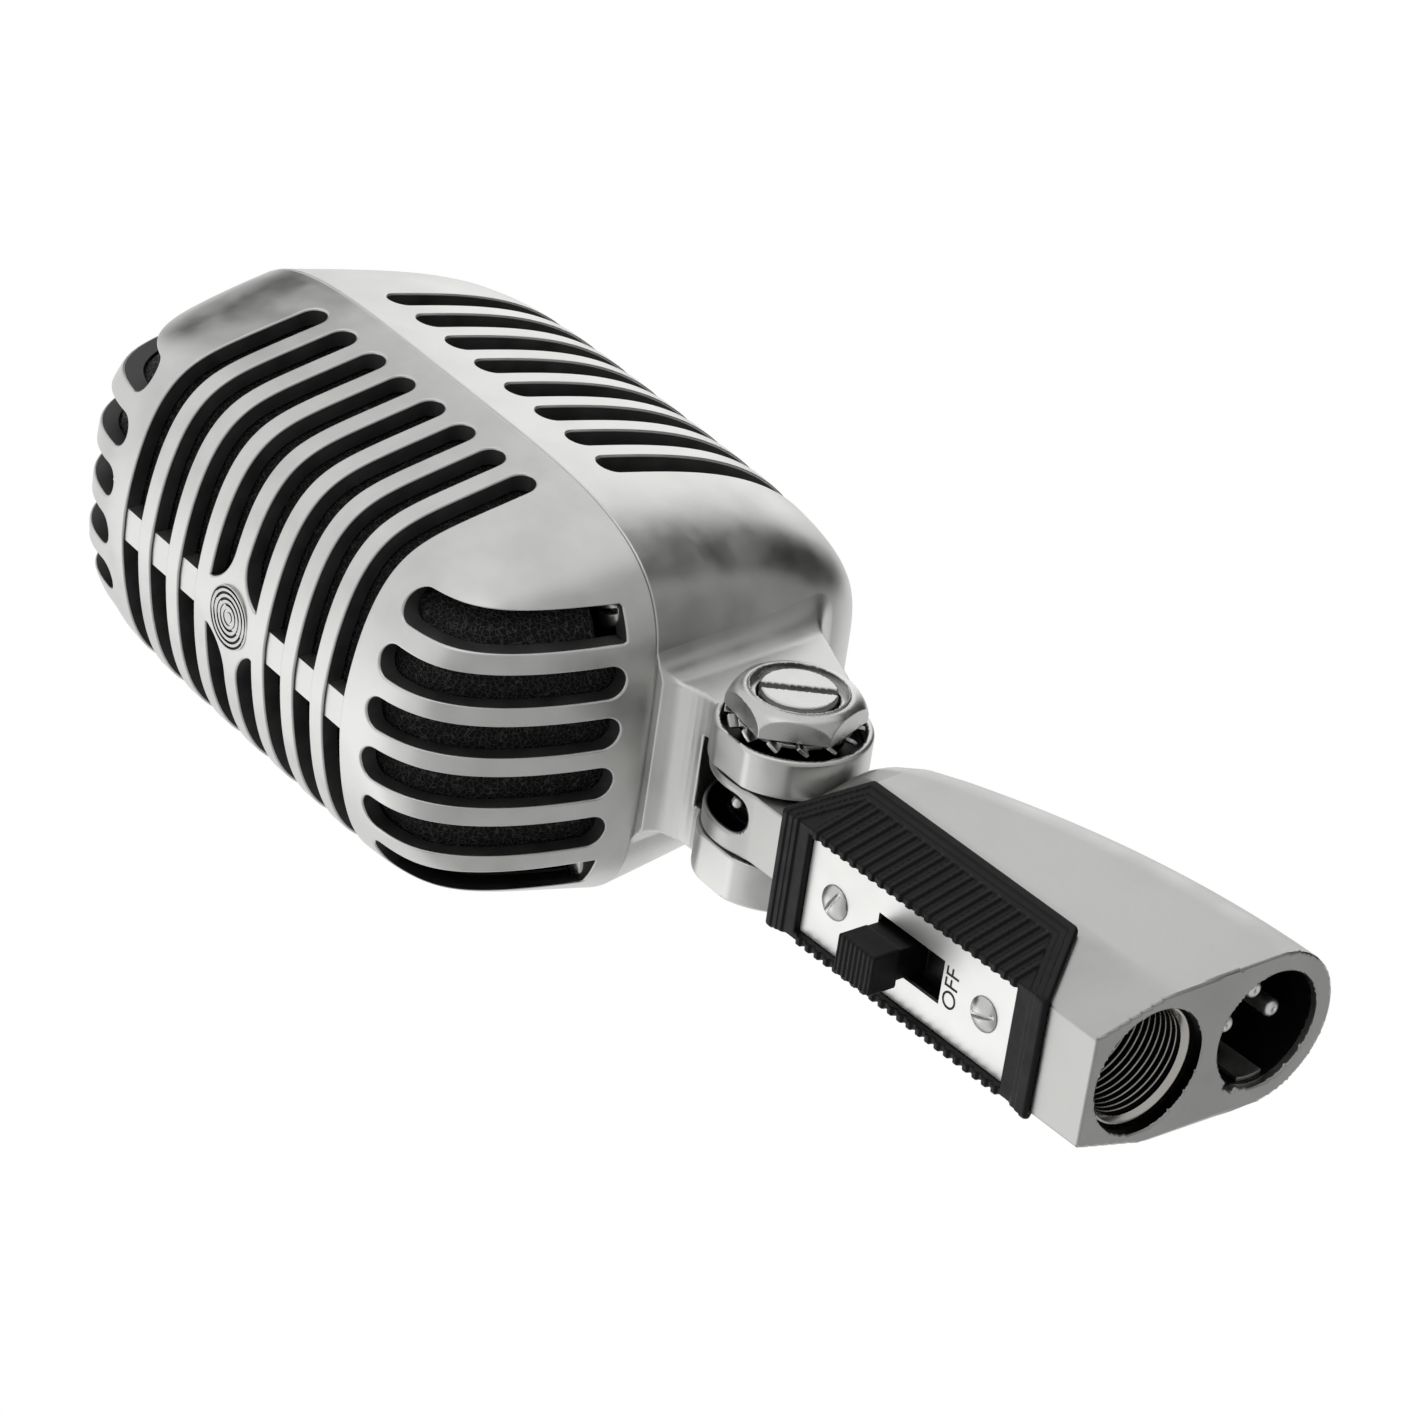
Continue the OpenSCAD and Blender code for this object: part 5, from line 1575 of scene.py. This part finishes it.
class MIC_OT_stage(bpy.types.Operator):
    """Sets the camera, the soft lights, the white surroundings and the pale floor"""

    bl_idname = "mic.stage"
    bl_label = "Stage"

    def execute(self, context):
        scene = context.scene
        scene.view_settings.view_transform = "Standard"
        camera = bpy.data.objects.new("camera", bpy.data.cameras.new("camera"))
        scene.collection.objects.link(camera)
        scene.camera = camera
        camera.location = (0.404415, -0.482213, -0.428419)
        camera.rotation_euler = [math.radians(a) for a in (144.11762, 38.68563, 80.45125)]
        camera.data.lens, camera.data.sensor_width = 162.532, 36
        camera.data.clip_start, camera.data.clip_end = 0.01, 20
        for name, at, span, power in LAMPS:
            lamp = bpy.data.lights.new(name, "AREA")
            lamp.shape, lamp.size, lamp.energy = "DISK", span, power
            holder = bpy.data.objects.new(name, lamp)
            scene.collection.objects.link(holder)
            holder.location = np.array(at) + MIDDLE * MM
            holder.rotation_mode = "QUATERNION"
            holder.rotation_quaternion = (-Vector(at)).to_track_quat("-Z", "Y")
        self.surroundings(scene)
        self.floor()
        for flag in FLAGS:
            self.flag(*flag)
        return {"FINISHED"}

    def flag(self, name, at, wide, tall, code):
        """A dark card that only reflections see, square to the line from the object's middle."""
        dark = linear(code)
        pale = tuple(1.1 * c for c in dark)

        def pattern(tree, place):
            return {"Color": mottled(tree, place, 30.0, dark, pale), "Strength": 1.0}

        at = np.array(at) / MM + MIDDLE
        back = unit(at - MIDDLE)
        across = unit(np.cross([0, 0, 1.0], back))
        up = np.cross(back, across)
        ends = np.array([-0.5, 0.5])
        u, v = np.meshgrid(ends * wide / MM, ends * tall / MM, indexing="ij")
        corners = at + u[..., None] * across + v[..., None] * up
        # The card glows with its own dark colour, lit by no lamp, setting the tone that the metal
        # reflects
        glowing_card = new_material(name + "_cloth", pattern, "ShaderNodeEmission")
        card = add_card(name, corners, -back, glowing_card)
        for ray in ("camera", "diffuse", "shadow", "transmission"):
            setattr(card, "visible_" + ray, False)

    def surroundings(self, scene):
        """White behind the object and in its reflections, and a softer white as light."""
        world = bpy.data.worlds.new("surroundings")
        world.use_nodes = True
        scene.world = world
        tree = world.node_tree
        tree.nodes.clear()
        rays = add_node(tree, "ShaderNodeLightPath").outputs
        seen = rays["Is Camera Ray"]
        for ray in ("Is Glossy Ray", "Is Transmission Ray"):
            seen = {0: seen, 1: rays[ray]}
            seen = add_node(tree, "ShaderNodeMath", seen, operation="MAXIMUM").outputs[0]
        strength = add_node(tree, "ShaderNodeMapRange", {"Value": seen, "To Min": 0.6})
        white = {"Color": (1, 1, 1, 1), "Strength": strength.outputs["Result"]}
        back = add_node(tree, "ShaderNodeBackground", white)
        add_node(tree, "ShaderNodeOutputWorld", {"Surface": back.outputs[0]})

    def floor(self):
        """A plain pale floor 0.76 m down, below the camera, that the camera sees as near white."""

        def pattern(tree, place):
            seen = add_node(tree, "ShaderNodeLightPath").outputs["Is Camera Ray"]
            glow = add_node(tree, "ShaderNodeMapRange", {"Value": seen, "To Max": 0.33})
            return {
                "Base Color": mottled(tree, place, 40.0, linear("#E6E6E6"), linear("#EAEAEA")),
                "Roughness": 0.8,
                "Emission Color": (1, 1, 1, 1),
                "Emission Strength": glow.outputs["Result"],
            }

        ends = np.array([-1.0, 1.0]) * 4000
        x, y = np.meshgrid(ends, ends, indexing="ij")
        corners = np.stack([x, y, 0 * x - 760], -1)
        add_card("floor", corners, [0, 0, 1.0], new_material("pale_floor", pattern))


# ---- operators ----


class MIC_OT_castings(bpy.types.Operator):
    """Makes the slotted front casting, the slotted rear casting and the screws between them"""

    bl_idname = "mic.castings"
    bl_label = "Head castings"

    def execute(self, context):
        pitch, spacing = value("head", "slot_pitch"), value("head", "upright_pitch")
        reach = value("head", "upright_reach")
        heights = [(i - 3.5) * pitch for i in range(8)]
        across = [(i - 2.5) * spacing for i in range(6)]
        # The middle slots flank the emblem, and the outermost upright slots differ from the rest
        middle = [h for h in heights if abs(h) < pitch]
        whole = [h for h in heights if abs(h) > pitch]
        outer = [abs(x) > 2 * spacing for x in across]
        reaches = [reach - (OUTER_LESS if far else 0) for far in outer]
        # The castings' second material is painted shade on their slot walls and inner skins
        front, rear, black = Casting(-1), Casting(1), finish("blackened_casting_inside")

        outlines = [front.level_slot(h, FRONT_END) for h in whole]
        outlines += [front.beside_emblem(h, FRONT_END, side) for h in middle for side in (-1, 1)]
        outlines += [front.upright_slot(x, reach, -1, far) for x, far in zip(across, outer)]
        outlines += [front.upright_slot(x, r + TOP_MORE, 1) for x, r in zip(across, reaches)]
        shell = self.shell(front, outlines, whole, FRONT_BOSS)
        lacquer = finish("satin_lacquered_zinc")
        add_piece("grille_casting", shell, HEAD, "die_cast", "front_grille", lacquer, black)

        outlines = [rear.level_slot(h, REAR_END) for h in heights]
        outlines += [rear.upright_slot(x, r, 1) for x, r in zip(across, reaches)]
        shell = self.shell(rear, outlines, heights, REAR_BOSS)
        shell.include(fork(rear))
        lacquer = rear_casting_finish()
        add_piece("rear_casting", shell, HEAD, "die_cast", "rear_shell", lacquer, black)

        screws, steel = case_screw(1, 25), finish("nickel_plated_steel")
        screws.include(case_screw(-1, 70))
        add_piece("case_screw_pair", screws, HEAD, "bright_steel", "case_screws", steel)
        return {"FINISHED"}

    def shell(self, half, outlines, band_heights, boss_length):
        """One casting with the band's pieces in its level slots and a boss for each screw."""
        shell = half.build(outlines)
        for height in band_heights:
            shell.include(half.band_block(height))
        boss = screw_boss(half.way, boss_length)
        shell.include(boss)
        shell.include(mirrored(boss))
        return shell


class MIC_OT_linings(bpy.types.Operator):
    """Makes the foam linings inside the two castings"""

    bl_idname = "mic.linings"
    bl_label = "Foam linings"

    def execute(self, context):
        foam, inset = open_cell_foam(), value("head", "wall") + 0.25
        # Each rim's distance from the seam, by distance across, steps round the bosses and fork
        front = [(0, 2), (13.6, 2), (14.6, 7.4), (22, 7.4), (23.2, 2)]
        rear = [(0, 16.2), (3.8, 16.2), (5.4, 10), (21.6, 10), (23.6, 4.2)]
        for name, way, node, rim in (
            ("front_lining", -1, "front_foam", front),
            ("rear_lining", 1, "rear_foam", rear),
        ):
            shape = Casting(way).lining(inset, 2.9, rim)
            piece = add_piece(name, shape, HEAD, "black_foam", node, foam)
        return {"FINISHED"}


class MIC_OT_emblem(bpy.types.Operator):
    """Makes the plain round emblem on the front"""

    bl_idname = "mic.emblem"
    bl_label = "Emblem"

    def execute(self, context):
        middle = value("head", "foot") + value("head", "height") / 2
        back = -value("head", "seam") - value("head", "front_depth") + 0.42
        shape = Shape()
        shape.include(emblem_disc(), lambda p: along_minus_y(p) + [0, back, middle], along_minus_y)
        add_piece("emblem_disc", shape, HEAD, "emblem_metal", "emblem", struck_emblem())
        return {"FINISHED"}


class MIC_OT_swivel(bpy.types.Operator):
    """Makes the swivel's domed nut, its toothed washer and its big screw"""

    bl_idname = "mic.swivel"
    bl_label = "Swivel"

    def execute(self, context):
        steel = finish("nickel_plated_steel")
        for name, shape, node, material in (
            ("domed_nut", nut(), "pivot_nut", nut_steel()),
            ("toothed_washer", toothed_washer(), "lock_washer", steel),
            ("swivel_screw", pivot_screw(), "pivot_screw", steel),
        ):
            add_piece(name, shape, HEAD, "bright_steel", node, material)
        return {"FINISHED"}


class MIC_OT_base(bpy.types.Operator):
    """Makes the base casting, its thread and its contact pins"""

    bl_idname = "mic.base"
    bl_label = "Base"

    def execute(self, context):
        recess, sleeve = value("base", "recess"), Shape()
        sleeve.include(threaded_sleeve(), lambda p: p + [0, 0, recess])
        lacquer, brass = base_casting_finish(), thread_brass()
        silver = finish("silver_plated_brass")
        for name, shape, slot, node, material in (
            ("base_casting", base_body(), "die_cast", "base_housing", lacquer),
            ("stand_thread", sleeve, "thread_metal", "thread_insert", brass),
            ("contact_pins", pins(), "bright_steel", "connector_pins", silver),
        ):
            add_piece(name, shape, BASE, slot, node, material)
        return {"FINISHED"}


class MIC_OT_trim(bpy.types.Operator):
    """Makes the moulded trim, the plate's screws and lettering, and the switch's button"""

    bl_idname = "mic.trim"
    bl_label = "Trim and switch"

    def execute(self, context):
        black, steel = finish("moulded_black_abs"), finish("nickel_plated_steel")
        add_piece("trim_surround", trim_surround(), BASE, "black_plastic", "escutcheon", black)
        add_piece("switch_knob", switch_knob(), SLIDER, "black_plastic", "switch_button", black)
        # Height of each screw above the foot, and how far its slot is turned
        shape = Shape()
        for height, turn in ((19.1, 18), (47.0, 62)):
            shape.include(plate_screw(turn), lambda p: p + [0, 0, height])
        add_piece("plate_screws", shape, BASE, "bright_steel", "nameplate_screws", steel)
        self.lettering(context)
        return {"FINISHED"}

    def lettering(self, context):
        """The word OFF under the switch, printed on the plate."""
        font = bpy.data.curves.new("off_mark", "FONT")
        font.body, font.size, font.align_x = "OFF", 3.35 * MM, "CENTER"
        font.extrude, font.offset = 0.015 * MM, -0.02 * MM
        holder = bpy.data.objects.new("off_mark_text", font)
        context.scene.collection.objects.link(holder)
        flat = holder.evaluated_get(context.evaluated_depsgraph_get())
        me = bpy.data.meshes.new_from_object(flat)
        bpy.data.objects.remove(holder)
        me.name = "off_mark"
        co = np.zeros(len(me.vertices) * 3, np.float32)
        me.vertices.foreach_get("co", co)
        x, y, z = (co.reshape(-1, 3) / MM).T
        p = np.stack([x, PLATE_FACE - z, 24.1 + y], -1)
        me.vertices.foreach_set("co", (from_foot(p) * MM).ravel().astype(np.float32))
        me.update()
        me.materials.clear()
        me.materials.append(finish("screen_printed_ink"))
        piece = bpy.data.objects.new("off_mark", me)
        context.scene.collection.objects.link(piece)
        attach(piece, BASE)


class MIC_OT_inner_parts(bpy.types.Operator):
    """Gives the parts that keep their CAD shape their finishes"""

    bl_idname = "mic.inner_parts"
    bl_label = "Inner parts"

    def execute(self, context):
        finishes = {
            "nickel_plated_steel": ["bracket_screws", "guide_pin"],
            "silver_plated_brass": ["ground_contact"],
            "moulded_black_abs": ["connector_insulator"],
            "satin_silver_plate": ["nameplate"],
            "drawn_aluminium": ["capsule_housing", "capsule_cap", "resonator_cup"],
            "polyester_film": ["diaphragm"],
            "enamelled_copper_wire": ["voice_coil"],
            "turned_soft_iron": ["top_plate", "pole_piece", "magnet_yoke"],
            "ground_cast_magnet": ["magnet"],
            "moulded_neoprene": ["shock_ring"],
            "zinc_plated_steel": ["cartridge_bracket", "switch_frame"],
            "silicon_steel_laminations": ["transformer_core"],
            "wound_polyester_tape": ["transformer_coil"],
            "extruded_wire_insulation": ["head_leads", "base_leads"],
            "vulcanised_fibre": ["friction_washers"],
            "phenolic_board": ["switch_base"],
            "rolled_spring_brass": ["switch_contacts", "sliding_contact"],
        }
        for name, nodes in finishes.items():
            material = finish(name)
            for node in nodes:
                me = frame["nodes"][node].data
                me.materials.clear()
                me.materials.append(material)
        return {"FINISHED"}


class MIC_PT_panel(bpy.types.Panel):
    """Lists the microphone's pieces"""

    bl_label = "Microphone"
    bl_idname = "MIC_PT_panel"
    bl_space_type = "VIEW_3D"
    bl_region_type = "UI"
    bl_category = "Microphone"

    def draw(self, context):
        for operator in OPERATORS:
            self.layout.operator(operator.bl_idname)


GROUPS = {
    "head": HeadSizes,
    "swivel": SwivelSizes,
    "base": BaseSizes,
    "trim": TrimSizes,
    "finish": Finishes,
}
OPERATORS = [
    MIC_OT_stage,
    MIC_OT_castings,
    MIC_OT_linings,
    MIC_OT_emblem,
    MIC_OT_swivel,
    MIC_OT_base,
    MIC_OT_trim,
    MIC_OT_inner_parts,
]


def register():
    """Adds the classes, and the sizes and finishes to the scene."""
    for cls in (*GROUPS.values(), *OPERATORS, MIC_PT_panel):
        bpy.utils.register_class(cls)
    for name, cls in GROUPS.items():
        setattr(bpy.types.Scene, "mic_" + name, PointerProperty(type=cls))


def unregister():
    """Takes away what register adds."""
    for name in GROUPS:
        delattr(bpy.types.Scene, "mic_" + name)
    for cls in reversed((*GROUPS.values(), *OPERATORS, MIC_PT_panel)):
        bpy.utils.unregister_class(cls)


def main():
    """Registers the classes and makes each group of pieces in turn."""
    register()
    for operator in OPERATORS:
        group, name = operator.bl_idname.split(".")
        getattr(getattr(bpy.ops, group), name)()


if __name__ == "__main__":
    main()
